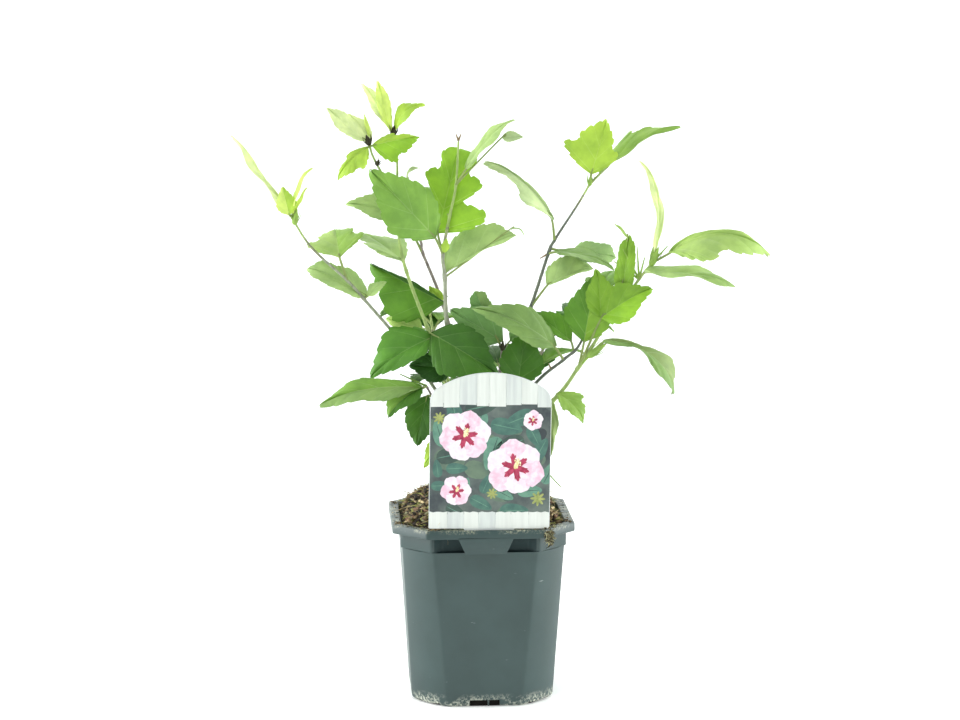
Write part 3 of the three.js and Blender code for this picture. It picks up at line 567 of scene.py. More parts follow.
def make_pot():
    """The pot's shell with its drains and the card's slot"""
    pile = Pile()
    add_closed_loft(pile, pot_rings)
    piece = pile.make("pot_shell", [])
    cut_drains(piece)
    return piece


def make_pocket():
    """The pocket under the lip, a plate with two short side walls, and the ribs in four drains"""
    pile = Pile()
    front = -RIM_WIDTH / 2
    low = lip_foot - POCKET_DROP
    high = lip_foot + 1
    top_half = POCKET_TOP_WIDTH / 2
    foot_half = POCKET_FOOT_WIDTH / 2
    outline = [(-top_half, high), (-foot_half - 0.4, low + 0.8), (-foot_half + 0.6, low),
               (foot_half - 0.6, low), (foot_half + 0.4, low + 0.8), (top_half, high)]
    points = []
    for y, inset in ((front + WALL, 0.0), (front + 0.3, 0.0), (front, 0.35)):
        for x, z in outline:
            points.append(turned((x - math.copysign(inset, x), y, z + (inset if z < lip_foot else 0))))
    pile.add(in_metres(points), layer_faces(len(outline), 3))
    slope = (top_half - foot_half) / (POCKET_DROP + 1)
    for side in (-1, 1):
        corners = box_points((-0.5, front + WALL, low + 1), (0.5, front + LIP_OVERHANG, high))
        points = [(side * (top_half - 0.8 - slope * (high - z)) + x, y, z) for x, y, z in corners]
        pile.add(in_metres([turned(point) for point in points]), BOX_FACES)
    for k in range(4):
        corners = box_points((2.4, -BODY_FOOT_WIDTH / 2 + 1, 0.4),
                             (3.6, -BODY_FOOT_WIDTH / 2 + 5, DRAIN_HEIGHT + 0.6))
        pile.add(in_metres([turned(point, POT_TURN_DEGREES + 90 * k) for point in corners]), BOX_FACES)
    return pile.make("pot_pocket", [], 35)


pot_shell = make_pot()
pot_pocket = make_pocket()
print("faces in the pot's shell:", len(pot_shell.data.polygons))

# %% [markdown]
# The plastic is a dark blue-grey with a satin gloss. Hard water has dried into white specks along the
# foot, peat dust lies on the rim, and the front has a few short scuffs. The set-back flats under the lip
# take a darker tone of the same plastic, because little light reaches them.

# %% Pot plastic
LIME = tone(224, 226, 208)
RIM_DUST = tone(196, 196, 168)


def make_pot_plastic(name, light, dark, rim_cover, gloss):
    """Satin plastic with lime at the foot and on the rim, and a few scuffs"""
    material, tree, shader, patch = make_finish(
        name, light, dark, 0.3, patches=22.0, bump=0.02, bump_mm=0.2, specular=gloss)
    foot = add_group(tree, lime_specks, {"Lime": LIME, "Full Height": 0.001, "Clean Height": 0.011,
                                         "Cover": 1.0, "Specks per Metre": 420.0})
    tree.links.new(patch.outputs["Color"], foot.inputs["Surface"])
    rim = add_group(tree, lime_specks, {"Lime": RIM_DUST, "Full Height": 0.148, "Clean Height": 0.1435,
                                        "Cover": rim_cover, "Specks per Metre": 560.0})
    tree.links.new(foot.outputs["Color"], rim.inputs["Surface"])
    place = add_node(tree, "ShaderNodeTexCoord").outputs["Object"]
    slanted = add_node(tree, "ShaderNodeMapping", {"Rotation": (0, 0.5, 0), "Scale": (60, 60, 420)},
                       {"Vector": place})
    streaks = add_node(tree, "ShaderNodeTexNoise", {"Scale": 1.0, "Detail": 3.0},
                       {"Vector": slanted.outputs[0]})
    scuff = span(tree, streaks.outputs["Fac"], 0.735, 0.76)
    colour = mix_colours(tree, scuff, rim.outputs["Color"], tone(128, 140, 138))
    tree.links.new(colour, shader.inputs["Base Color"])
    smudge = add_node(tree, "ShaderNodeTexNoise", {"Scale": 35.0, "Detail": 5.0}, {"Vector": place})
    rough = add_node(tree, "ShaderNodeMapRange", {"To Min": 0.36, "To Max": 0.44},
                     {"Value": smudge.outputs["Fac"]})
    tree.links.new(rough.outputs["Result"], shader.inputs["Roughness"])
    return material


def in_recess(point):
    """Whether a place on the shell lies in the set-back part of a flat, under the lip"""
    x, y, z = (value / MM for value in point)
    direction = (math.degrees(math.atan2(y, x)) - POT_TURN_DEGREES) % 90
    inside_flat = min(direction, 90 - direction) < edge_degrees(collar_width / 2, COLLAR_CORNER) * 0.975
    return inside_flat and body_top + 0.2 < z < lip_foot + 0.1


pot_plastic = make_pot_plastic("pot_plastic", tone(53, 73, 72), tone(47, 66, 65), rim_cover=0.85, gloss=0.5)
pot_shade = make_pot_plastic("pot_shade", tone(43, 61, 62), tone(37, 54, 55), rim_cover=0, gloss=0.2)
for piece in (pot_shell, pot_pocket):
    piece.data.materials.clear()
    piece.data.materials.append(pot_plastic)
    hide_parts("pot")
pot_shell.data.set_sharp_from_angle(angle=math.radians(40))
pot_shell.data.materials.append(pot_shade)
for face in pot_shell.data.polygons:
    face.material_index = 1 if in_recess(face.center) else 0
print("pot finishes:", [pot_plastic.name, pot_shade.name])

# %% [markdown]
# The root ball stands up out of the pot in a low mound of peat. One displaced surface gives its lumps.
# Crumbs of peat, strands of moss and pale fibres lie on it as separate small shapes, because flat
# ground with a picture of moss would show at the edge of the card.

# %% Mound of peat
MOUND_HEIGHT = 22
FILL_EDGE_DROP = 7
MOUND_EDGE_DROP = 6
MOUND_RINGS = 44
BROAD_LUMP_WIDTH = 26
BROAD_LUMP_HEIGHT = 4
FINE_LUMP_WIDTH = 7
FINE_LUMP_HEIGHT = 2.2
CLEAR = 0.3

side_gap = WALL + CLEAR
rim_ring = pot_ring(collar_width, 0, COLLAR_CORNER, side_gap)


def mound_height(x, y):
    """Height of the peat over a point, with its lumps, in millimetres"""
    direction = math.degrees(math.atan2(y, x)) - POT_TURN_DEGREES
    edge = corner_reach(collar_width / 2 - side_gap, COLLAR_CORNER, direction % 90)
    share = min(math.hypot(x, y) / edge, 1)
    broad = noise.noise(Vector((x / BROAD_LUMP_WIDTH, y / BROAD_LUMP_WIDTH, 4))) * BROAD_LUMP_HEIGHT
    spot = Vector((x / FINE_LUMP_WIDTH, y / FINE_LUMP_WIDTH, 9))
    fine = noise.fractal(spot, 0.8, 2.1, 4) * FINE_LUMP_HEIGHT
    height = POT_HEIGHT + MOUND_HEIGHT * (1 - share ** 3) - MOUND_EDGE_DROP * share ** 6
    if share > 0.9:
        height -= (share - 0.9) * 10 * (FILL_EDGE_DROP - MOUND_EDGE_DROP + 3)
    return max(height - 1.5 + (broad + fine) * (1 - 0.5 * share), lip_foot + 2.6)


def make_mound():
    """The peat's surface, closed by a flat underside a little way down in the collar"""
    pile = Pile()
    shares = [1, 1] + [1 - step / MOUND_RINGS for step in range(1, MOUND_RINGS)]
    points = []
    for ring, share in enumerate(shares):
        for x, y, _ in rim_ring:
            z = lip_foot + 2 if ring == 0 else mound_height(x * share, y * share)
            points.append((x * share, y * share, z))
    sides = len(rim_ring)
    faces = loft_faces(len(shares), sides)
    points.append((0, 0, mound_height(0, 0)))
    top = (len(shares) - 1) * sides
    faces += [(top + k, top + (k + 1) % sides, len(points) - 1) for k in range(sides)]
    faces.append(tuple(reversed(range(sides))))
    pile.add(in_metres(points), faces)
    return pile.make("peat_mound", [])


def make_root_foot():
    """The lower end of the root ball, seen through the drains"""
    pile = Pile()
    close = BODY_FOOT_WIDTH - 2 * WALL - 1.4
    sizes = ((close - 1, 0.3), (close, 0.8), (close, 5), (close - 4, 24))
    add_closed_loft(pile, [pot_ring(width, z, BODY_FOOT_CORNER) for width, z in sizes])
    return pile.make("peat_foot", [])


peat_mound = make_mound()
peat_foot = make_root_foot()
print("highest peat in millimetres:", round(mound_height(0, 12), 1))

# %% Crumbs of peat
# The finishes of peat and litter, as numbers that a pile gives to its faces
(PEAT_DARK, PEAT_BROWN, PEAT_PALE, MOSS_GREEN, MOSS_YELLOW, MOSS_BROWN, FIBRE_PALE, CHIP_ROSE,
 TUFT_GREY) = range(9)
CRUMB_COUNT = 2400
CRUMB_SIZES = (0.8, 1.1, 1.5, 1.9, 2.8, 3.6)
CRUMB_TONES = [PEAT_DARK] * 4 + [PEAT_BROWN] * 2 + [PEAT_PALE, MOSS_GREEN]
CHIP_COUNT = 1300
CHIP_TONES = [PEAT_DARK, PEAT_DARK, PEAT_BROWN, PEAT_BROWN, PEAT_PALE, MOSS_BROWN, MOSS_BROWN,
              FIBRE_PALE, CHIP_ROSE, CHIP_ROSE, TUFT_GREY]
DUST_COUNT = 600
DUST_TONES = [PEAT_DARK, PEAT_DARK, PEAT_BROWN, PEAT_PALE, MOSS_BROWN, FIBRE_PALE]


def crumb(centre, size, chance):
    """A lump with eight uneven corners"""
    points = []
    for axis in range(3):
        for side in (-1, 1):
            reach = size * chance.uniform(0.6, 1.15) * (0.7 if axis == 2 else 1)
            point = [chance.uniform(-0.2, 0.2) * size for _ in range(3)]
            point[axis] += side * reach
            points.append(tuple(centre[k] + point[k] for k in range(3)))
    faces = [(2, 4, 0), (1, 4, 2), (3, 4, 1), (0, 4, 3), (0, 5, 2), (2, 5, 1), (1, 5, 3), (3, 5, 0)]
    return points, faces


def chip(centre, chance):
    """A splinter of bark or wood that lies at a slant"""
    turn = chance.uniform(0, math.pi)
    along = Vector((math.cos(turn), math.sin(turn), chance.uniform(-0.5, 0.5))).normalized()
    across = along.cross(Vector((chance.uniform(-0.6, 0.6), chance.uniform(-0.6, 0.6), 1))).normalized()
    thick = along.cross(across)
    size = (chance.uniform(1.6, 5.2), chance.uniform(0.6, 1.7), chance.uniform(0.3, 0.9))
    points = []
    for x, y, z in box_points((-1, -1, -1), (1, 1, 1)):
        place = along * x * size[0] + across * y * size[1] * chance.uniform(0.5, 1.1) + thick * z * size[2]
        points.append(tuple(Vector(centre) + place * chance.uniform(0.85, 1.1)))
    return points, BOX_FACES


def random_ground(chance, reach):
    """A random point on the mound, not further out than a share of the way to its edge"""
    ring_point = chance.choice(rim_ring)
    share = math.sqrt(chance.random()) * reach
    x = ring_point[0] * share + chance.uniform(-2, 2)
    y = ring_point[1] * share + chance.uniform(-2, 2)
    return x, y, mound_height(x, y)


def make_crumbs():
    """Crumbs and chips of a few tones, scattered over the mound, and dust on the rim"""
    chance = random.Random(7)
    pile = Pile()
    for _ in range(CRUMB_COUNT):
        size = chance.choice(CRUMB_SIZES)
        x, y, z = random_ground(chance, 0.95)
        points, faces = crumb((x, y, z + size * 0.3), size, chance)
        pile.add(in_metres(points), faces, chance.choice(CRUMB_TONES))
    for _ in range(CHIP_COUNT):
        x, y, z = random_ground(chance, 0.93)
        points, faces = chip((x, y, z + 0.8), chance)
        pile.add(in_metres(points), faces, chance.choice(CHIP_TONES))
    for _ in range(DUST_COUNT):
        size = chance.uniform(0.25, 0.8)
        rim_line = pot_ring(RIM_WIDTH - chance.uniform(3, 13), POT_HEIGHT + size * 0.3, RIM_CORNER)
        place = chance.choice(rim_line)
        if place[1] < 40 and abs(place[0]) > 30:
            points, faces = crumb(place, size, chance)
            pile.add(in_metres(points), faces, chance.choice(DUST_TONES))
    return pile


crumbs = make_crumbs()
print("crumbs of peat:", len(crumbs.faces) // 8)

# %% [markdown]
# Moss and fibres are thin curved strands with three sides. Most moss grows near the rim, where light
# reaches the peat, and a tuft hangs over the rim beside the card.

# %% Moss and fibres
MOSS_COUNT = 2000
MOSS_TONES = (MOSS_GREEN, MOSS_GREEN, MOSS_GREEN, MOSS_YELLOW, TUFT_GREY)
FIBRE_COUNT = 350
FIBRE_TONES = (PEAT_BROWN, PEAT_PALE, MOSS_BROWN, FIBRE_PALE, FIBRE_PALE)
TUFT_COUNT = 260
TUFT_TONES = [PEAT_DARK] * 2 + [TUFT_GREY] * 4 + [MOSS_BROWN]
TUFT_X = 49.5
TUFT_DROP = 12


def strand(start, heading, length, radius, bend, steps=5):
    """A thin strand that bends as it goes and ends in a point"""
    place = Vector(start)
    heading = Vector(heading).normalized()
    rings = []
    for step in range(steps + 1):
        across = heading.orthogonal().normalized()
        up = heading.cross(across)
        thick = radius * (1 - 0.85 * step / steps)
        for k in range(3):
            angle = 2 * math.pi * k / 3
            rings.append(place + across * thick * math.cos(angle) + up * thick * math.sin(angle))
        place = place + heading * length / steps
        heading = (heading + Vector(bend) / steps).normalized()
    faces = loft_faces(steps + 1, 3)
    faces += [(2, 1, 0), (3 * steps, 3 * steps + 1, 3 * steps + 2)]
    return [tuple(point) for point in rings], faces


def add_strands(pile, chance, count, tones, length, radius, nearest):
    """Strands that lie on the mound, none nearer to its middle than the last value in millimetres"""
    for _ in range(count):
        x, y, z = random_ground(chance, 0.99)
        while math.hypot(x, y) <= nearest:
            x, y, z = random_ground(chance, 0.99)
        turn = chance.uniform(0, 2 * math.pi)
        heading = (math.cos(turn), math.sin(turn), chance.uniform(-0.1, 0.9))
        bend = (chance.uniform(-1, 1), chance.uniform(-1, 1), chance.uniform(-1.6, -0.2))
        size = (chance.uniform(*length), chance.uniform(*radius))
        points, faces = strand((x, y, z - 0.5), heading, *size, bend)
        pile.add(in_metres(points), faces, chance.choice(tones))


def rim_front(x):
    """Where the rim's outside stands at the front, on its flat and on its clipped corner"""
    return -RIM_WIDTH / 2 + max(0, abs(x) - (RIM_WIDTH / 2 - RIM_CLIP))


def hanging_tuft(pile, chance, x, drop, count):
    """A tangle that lies on the rim and hangs down its outside, narrower below"""
    for _ in range(count):
        share = chance.random()
        near = x + 1.5 * share + chance.uniform(-1, 1) * (5 - 3.4 * share)
        place = (near, rim_front(near) - chance.uniform(0.2, 2.2), POT_HEIGHT + 1.2 - drop * share)
        if share < 0.2:
            place = (near + 1, rim_front(near) + chance.uniform(0, 9), POT_HEIGHT + chance.uniform(0.2, 2))
        heading = (chance.uniform(-1, 1), chance.uniform(-0.4, 0.3), chance.uniform(-1.2, 0.3))
        bend = (chance.uniform(-2, 2), chance.uniform(-0.8, 0.8), chance.uniform(-1.6, 0.6))
        size = (chance.uniform(1.8, 4.6), chance.uniform(0.25, 0.55))
        points, faces = strand(turned(place), heading, *size, bend)
        pile.add(in_metres(points), faces, chance.choice(TUFT_TONES))
    low = (x + 3.4, rim_front(x + 3.4) - 1, POT_HEIGHT - drop)
    points, faces = strand(turned(low), (-1, -0.2, -0.85), 7, 1.1, (0, 0, 0.2))
    pile.add(in_metres(points), faces, PEAT_DARK)


moss_chance = random.Random(21)
add_strands(crumbs, moss_chance, MOSS_COUNT, MOSS_TONES, (3, 10), (0.35, 0.8), 27)
add_strands(crumbs, moss_chance, FIBRE_COUNT, FIBRE_TONES, (8, 20), (0.25, 0.7), 12)
hanging_tuft(crumbs, moss_chance, TUFT_X, TUFT_DROP, TUFT_COUNT)
# One curled chip of wood lies at the right corner
points, faces = strand((56, -38, 150), (0.5, 0.6, 0.6), 12, 1.2, (-0.9, 0.4, -1.3), 8)
crumbs.add(in_metres(points), faces, FIBRE_PALE)
print("crumbs and strands together have faces:", len(crumbs.faces))

# %% Peat and moss finishes
# Name, light and dark tone, roughness, patches per metre, strength of the bump and its depth in millimetres
peat_finishes = make_finishes([
    ("peat_dark", (52, 42, 32), (28, 23, 18), 0.92, 260, 0.6, 0.6),
    ("peat_brown", (112, 92, 66), (76, 62, 45), 0.92, 260, 0.6, 0.6),
    ("peat_pale", (172, 150, 112), (126, 108, 80), 0.9, 260, 0.5, 0.5),
    ("moss_green", (156, 158, 84), (108, 112, 52), 0.75, 200, 0.2, 0.2),
    ("moss_yellow", (204, 196, 126), (156, 148, 86), 0.75, 200, 0.2, 0.2),
    ("moss_brown", (132, 116, 78), (94, 82, 54), 0.8, 200, 0.2, 0.2),
    ("fibre_pale", (222, 204, 156), (176, 152, 112), 0.8, 200, 0.2, 0.2),
    ("chip_rose", (148, 116, 90), (106, 82, 64), 0.85, 260, 0.4, 0.4),
    ("tuft_grey", (164, 162, 122), (116, 116, 84), 0.8, 260, 0.2, 0.2),
])
peat_mound.data.materials.append(peat_finishes[PEAT_DARK])
# The peat behind the drains has a near-black tone, painted shade for the pot's own shade in its foot
peat_shade, _, _, _ = make_finish("peat_shade", tone(22, 20, 17), tone(12, 11, 9), 0.95, 260.0,
                                  bump=0.4, specular=0.2)
peat_foot.data.materials.append(peat_shade)
peat_litter = crumbs.make("peat_litter", peat_finishes)
for piece in (peat_mound, peat_foot, peat_litter):
    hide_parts("soil")
print("peat finishes:", len(peat_finishes))

# %% [markdown]
# The card that names the plant is stiff board with an arched top, printed on its front. Here it keeps
# the look of such a card, pale planks above and below a picture of flowers, but shows a plain
# design with no words. Every printed shape is a thin plate of its own, some hundredths or a few tenths
# of a millimetre proud, so that edges stay crisp at any distance.

# %% Card sizes
LABEL_WIDTH = 95
LABEL_HEIGHT = 124
LABEL_SHOULDER = 100
LABEL_SHOULDER_BEND = 9
LABEL_ARCH_RADIUS = 77
LABEL_ARCH_HALF = 40
LABEL_LEAN_DEGREES = 0.8
TONGUE_FOOT_WIDTH = 26
TONGUE_LENGTH = 17
PICTURE_FOOT = 13.4
PICTURE_TOP = 98
CARD_FRONT = -RIM_WIDTH / 2 + LABEL_INSET - LABEL_THICKNESS / 2


def card_point(x, height, proud):
    """A place on the card's front, from its own left-right and height in millimetres"""
    lean = math.radians(LABEL_LEAN_DEGREES)
    along = x * math.cos(lean) + height * math.sin(lean) + LABEL_OFFSET
    up = height * math.cos(lean) - x * math.sin(lean)
    lift = POT_HEIGHT + CLEAR + LABEL_WIDTH / 2 * math.sin(lean)
    return turned((along, CARD_FRONT - proud, up + lift))


def arch_height(x):
    """Height of the card's upper edge over a place on its width"""
    x = abs(x)
    arch = LABEL_HEIGHT - LABEL_ARCH_RADIUS + math.sqrt(LABEL_ARCH_RADIUS ** 2 - min(x, LABEL_ARCH_HALF) ** 2)
    if x <= LABEL_ARCH_HALF:
        return arch
    share = 1 - math.sqrt(max(0, 1 - (x - LABEL_ARCH_HALF) / (LABEL_WIDTH / 2 - LABEL_ARCH_HALF)))
    corner = LABEL_SHOULDER + LABEL_SHOULDER_BEND
    return arch * (1 - share) ** 2 + corner * 2 * share * (1 - share) + LABEL_SHOULDER * share ** 2


print("card's upper edge at its middle and its side:", arch_height(0), round(arch_height(47.4), 1))

# %% Plates
# The card's finishes, as numbers that a pile gives to its faces
(CARD_BOARD, PICTURE_GROUND, PLANK_WHITE, PLANK_GREY, SPRIG_LIGHT, SPRIG_TEAL, SPRIG_DEEP, PETAL_WHITE,
 PETAL_PINK, PETAL_CRIMSON, COLUMN_CREAM, POLLEN, BLUR_GREY, BLUR_GREEN, BLUR_DARK, SEPAL_YELLOW) = range(16)


def add_plate(pile, outline, proud, thickness, finish, bevel=0.0):
    """A closed plate on the card, from an outline that runs against the clock as seen from the front"""
    count = len(outline)
    middle_x = sum(point[0] for point in outline) / count
    middle_h = sum(point[1] for point in outline) / count
    points = []
    for depth, shrink in ((proud, bevel), (proud - bevel, 0), (proud - thickness + bevel, 0),
                          (proud - thickness, bevel)):
        for x, height in outline:
            reach = math.hypot(x - middle_x, height - middle_h) or 1
            pull = 1 - shrink / reach
            place = (middle_x + (x - middle_x) * pull, middle_h + (height - middle_h) * pull)
            points.append(card_point(*place, depth))
    pile.add(in_metres(points), layer_faces(count, 4), finish)


def card_outline():
    """The card with its tongue, against the clock from the tongue's lower left"""
    half = LABEL_WIDTH / 2
    shoulder = [half - step for step in (0, 0.1, 0.5, 1.3, 2.6, 4.6)]
    arch = [LABEL_ARCH_HALF * (1 - step / 20) for step in range(41)]
    upper = [(x, arch_height(x)) for x in shoulder + arch + [-x for x in reversed(shoulder)]]
    return [
        (-TONGUE_FOOT_WIDTH / 2, -TONGUE_LENGTH), (TONGUE_FOOT_WIDTH / 2, -TONGUE_LENGTH),
        (TONGUE_TOP_WIDTH / 2, 0), (half - 0.6, 0), (half, 0.6), *upper,
        (-half, 0.6), (-half + 0.6, 0), (-TONGUE_TOP_WIDTH / 2, 0),
    ]


card = Pile()
add_plate(card, card_outline(), 0, LABEL_THICKNESS, CARD_BOARD, 0.12)
print("points round the card:", len(card_outline()))

# %% Planks and picture ground
def add_planks(pile, chance, edges, foot, top):
    """Pale planks side by side, each with uneven ends where it overlaps the picture"""
    half = LABEL_WIDTH / 2 - 0.3
    for left, right in zip(edges, edges[1:]):
        low = foot(chance)
        rise = [left + 0.12 + (right - left - 0.24) * step / 5 for step in range(6)]
        outline = [(rise[0], low + chance.uniform(-0.3, 0.3)), (rise[-1], low + chance.uniform(-0.3, 0.3))]
        outline += [(min(max(x, -half), half), top(x, chance)) for x in reversed(rise)]
        add_plate(pile, outline, 0.3, 0.28, chance.choice((PLANK_WHITE, PLANK_WHITE, PLANK_GREY)))


plank_chance = random.Random(4)
side = LABEL_WIDTH / 2 - 0.4
low = PICTURE_FOOT - 2
high = PICTURE_TOP + 2
add_plate(card, [(-side, low), (side, low), (side, high), (-side, high)], 0.03, 0.02, PICTURE_GROUND)
add_planks(card, plank_chance, [-side, -37, -24.5, -11, -1.5, 12, 24, 36.5, side],
           lambda chance: PICTURE_TOP + chance.uniform(-1.6, 1.2),
           lambda x, chance: arch_height(min(abs(x) + 0.5, LABEL_WIDTH / 2 - 0.05)) - 0.5)
add_planks(card, plank_chance, [-side, -33, -20, -8.5, 5, 17, 31, side],
           lambda chance: 0.4,
           lambda x, chance: PICTURE_FOOT + 0.4 * math.sin(x * 0.9))
print("faces on the card so far:", len(card.faces))

# %% [markdown]
# The picture shows six-petalled blossoms and sprigs of oval leaves. A blossom is a ring of petals that
# overlap like roof tiles, a crimson streak on each petal, and a cream column in the middle. Parts of a
# blossom lie at slightly different depths, so they never fight for the same place.

# %% Blossoms and sprigs
# How far the parts of the picture stand out of the card, in millimetres
BLUR_PROUD = 0.035
SPRIG_PROUD = 0.06
VEIN_PROUD = 0.12
SEPAL_PROUD = 0.125
PETAL_PROUD = 0.13
STREAK_PROUD = 0.205
SIDE_STREAK_PROUD = 0.207
EYE_PROUD = 0.215
COLUMN_PROUD = 0.23
POLLEN_PROUD = 0.24


def oval(centre_x, centre_h, degrees, length, width, tip=0.6, count=18):
    """An outline that starts at a point, swells and narrows again; tip moves its widest place outwards"""
    outline = []
    turn = math.radians(degrees)
    for k in range(count):
        angle = 2 * math.pi * k / count
        along = length * (0.5 - 0.5 * math.cos(angle))
        across = -width / 2 * math.sin(angle) * (1 - tip * 0.5 * math.cos(angle))
        outline.append((centre_x + along * math.cos(turn) - across * math.sin(turn),
                        centre_h + along * math.sin(turn) + across * math.cos(turn)))
    return outline


def petal(centre_x, centre_h, degrees, length, width, ruffle):
    """A narrow foot and a broad ruffled end; ruffle says where on the edge its waves lie"""
    outline = []
    turn = math.radians(degrees)
    steps = 26
    for k in range(steps):
        angle = math.pi * (k / (steps - 1) - 0.5) * 1.9
        swell = 1 + 0.05 * math.sin(5 * angle + ruffle) + 0.03 * math.sin(11 * angle)
        along = length * (0.56 + 0.44 * math.cos(angle) * swell)
        across = width / 2 * math.sin(angle) * swell * (1 if abs(angle) < 1.6 else 0.72)
        outline.append((centre_x + along * math.cos(turn) - across * math.sin(turn),
                        centre_h + along * math.sin(turn) + across * math.cos(turn)))
    return outline + [(centre_x - 0.4 * math.sin(turn + 1), centre_h + 0.4 * math.cos(turn + 1))]


def inside_picture(outline):
    """An outline whose points outside the picture are moved to its edge"""
    half = LABEL_WIDTH / 2 - 0.5
    return [(min(max(x, -half), half), min(max(height, PICTURE_FOOT - 1), PICTURE_TOP + 1.5))
            for x, height in outline]


def picture_plate(outline, proud, finish):
    """A thin plate inside the picture"""
    add_plate(card, inside_picture(outline), proud, 0.02, finish)


def add_blossom(x, height, size, start, chance):
    """Six petals with streaks, and the middle"""
    for k in range(6):
        swell = size * chance.uniform(0.92, 1.08)
        outline = petal(x, height, start + 60 * k, swell, size * 0.98, chance.uniform(0, 6))
        picture_plate(outline, PETAL_PROUD + 0.01 * k, PETAL_PINK if k % 2 else PETAL_WHITE)
    for k in range(6):
        degrees = start + 60 * k + chance.uniform(-4, 4)
        picture_plate(oval(x, height, degrees, size * 0.52, size * 0.2, -0.5), STREAK_PROUD, PETAL_CRIMSON)
        for lean in (-13, 12):
            streak = oval(x, height, degrees + lean, size * 0.46, size * 0.05, 0.2, 10)
            picture_plate(streak, SIDE_STREAK_PROUD, PETAL_CRIMSON)
    picture_plate(oval(x - size * 0.13, height, 0, size * 0.26, size * 0.26, 0, 14), EYE_PROUD, PETAL_CRIMSON)
    column = oval(x - size * 0.03, height - size * 0.06, 68, size * 0.4, size * 0.15, -0.4, 12)
    picture_plate(column, COLUMN_PROUD, COLUMN_CREAM)
    for _ in range(14):
        turn = chance.uniform(0, 360)
        reach = chance.uniform(0.02, 0.1) * size
        spot_x = x + size * 0.05 + reach * math.cos(math.radians(turn))
        spot_h = height + size * 0.16 + reach * 1.6 * math.sin(math.radians(turn))
        picture_plate(oval(spot_x, spot_h, turn, size * 0.06, size * 0.05, 0, 8), POLLEN_PROUD, POLLEN)


def add_sprig(x, height, degrees, count, size, chance):
    """Pointed leaves on both sides of a line"""
    turn = math.radians(degrees)
    for k in range(count):
        place_x = x + size * 0.5 * k * math.cos(turn)
        place_h = height + size * 0.5 * k * math.sin(turn)
        lean = 48 if k % 2 else -48
        long = size * chance.uniform(0.8, 1.2)
        finish = chance.choice((SPRIG_LIGHT, SPRIG_TEAL, SPRIG_TEAL, SPRIG_DEEP))
        vein_finish = SPRIG_DEEP if finish == SPRIG_LIGHT else SPRIG_LIGHT
        blade = oval(place_x, place_h, degrees + lean, long, long * 0.5, -0.7)
        picture_plate(blade, SPRIG_PROUD + 0.008 * (k % 5), finish)
        vein = oval(place_x, place_h, degrees + lean, long * 0.9, long * 0.03, 0, 8)
        picture_plate(vein, VEIN_PROUD, vein_finish)


blossom_chance = random.Random(12)
for k in range(26):
    x = blossom_chance.uniform(-44, 44)
    height = blossom_chance.uniform(PICTURE_FOOT, PICTURE_TOP)
    size = blossom_chance.uniform(8, 26)
    blur = oval(x, height, blossom_chance.uniform(0, 360), size, size * 0.7, 0.2)
    finish = blossom_chance.choice((BLUR_GREY, BLUR_GREEN, BLUR_GREY, BLUR_DARK))
    picture_plate(blur, BLUR_PROUD + 0.001 * (k % 8), finish)
for sprig in ((-42, 56, 60, 5, 22), (-6, 94, -60, 5, 24), (34, 92, -110, 4, 22), (-34, 18, 20, 5, 20),
              (8, 14, 50, 4, 21), (42, 36, 110, 3, 20), (-46, 34, 50, 3, 18)):
    add_sprig(*sprig, blossom_chance)
for x, height, size in ((38, 24, 6), (-40, 88, 5), (2, 28, 4.5)):
    for turn in range(0, 360, 45):
        sepal = oval(x, height, turn + size * 7, size, size * 0.34, 0.2, 10)
        picture_plate(sepal, SEPAL_PROUD + 0.0004 * turn / 45, SEPAL_YELLOW)
for blossom in ((-20, 74, 20, 14), (20, 49, 22, 40), (-26, 30, 12, 5), (33, 86, 8, 22)):
    add_blossom(*blossom, blossom_chance)
print("faces on the card:", len(card.faces))

# %% Card finishes
def print_finish(name, light, dark, patches, stretch=(1, 1, 1)):
    """The smooth finish of printed board"""
    return make_finish(name, tone(*light), tone(*dark), 0.38, patches, stretch, bump=0)[0]


card_finishes = [
    print_finish("card_board", (222, 226, 224), (214, 219, 218), 60),
    print_finish("picture_ground", (100, 112, 106), (58, 66, 70), 42),
    print_finish("plank_white", (224, 228, 222), (213, 217, 211), 260, (1, 1, 0.06)),
    print_finish("plank_grey", (213, 219, 214), (198, 203, 201), 260, (1, 1, 0.06)),
    print_finish("sprig_light", (104, 150, 128), (84, 128, 112), 160),
    print_finish("sprig_teal", (76, 118, 104), (60, 98, 90), 160),
    print_finish("sprig_deep", (68, 90, 80), (54, 72, 68), 160),
    print_finish("petal_white", (244, 238, 244), (232, 214, 226), 200),
    print_finish("petal_pink", (242, 226, 236), (228, 188, 208), 200),
    print_finish("petal_crimson", (190, 62, 96), (150, 30, 66), 300),
    print_finish("column_cream", (240, 230, 180), (222, 204, 132), 400),
    print_finish("pollen", (250, 244, 214), (236, 220, 160), 400),
    print_finish("blur_grey", (92, 104, 100), (66, 76, 78), 60),
    print_finish("blur_green", (104, 126, 104), (80, 100, 88), 60),
    print_finish("blur_dark", (62, 70, 74), (50, 58, 62), 60),
    print_finish("sepal_yellow", (170, 176, 104), (134, 146, 80), 300),
]
card_piece = card.make("printed_card", card_finishes, 35)
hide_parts("label")
print("card finishes:", len(card_finishes))
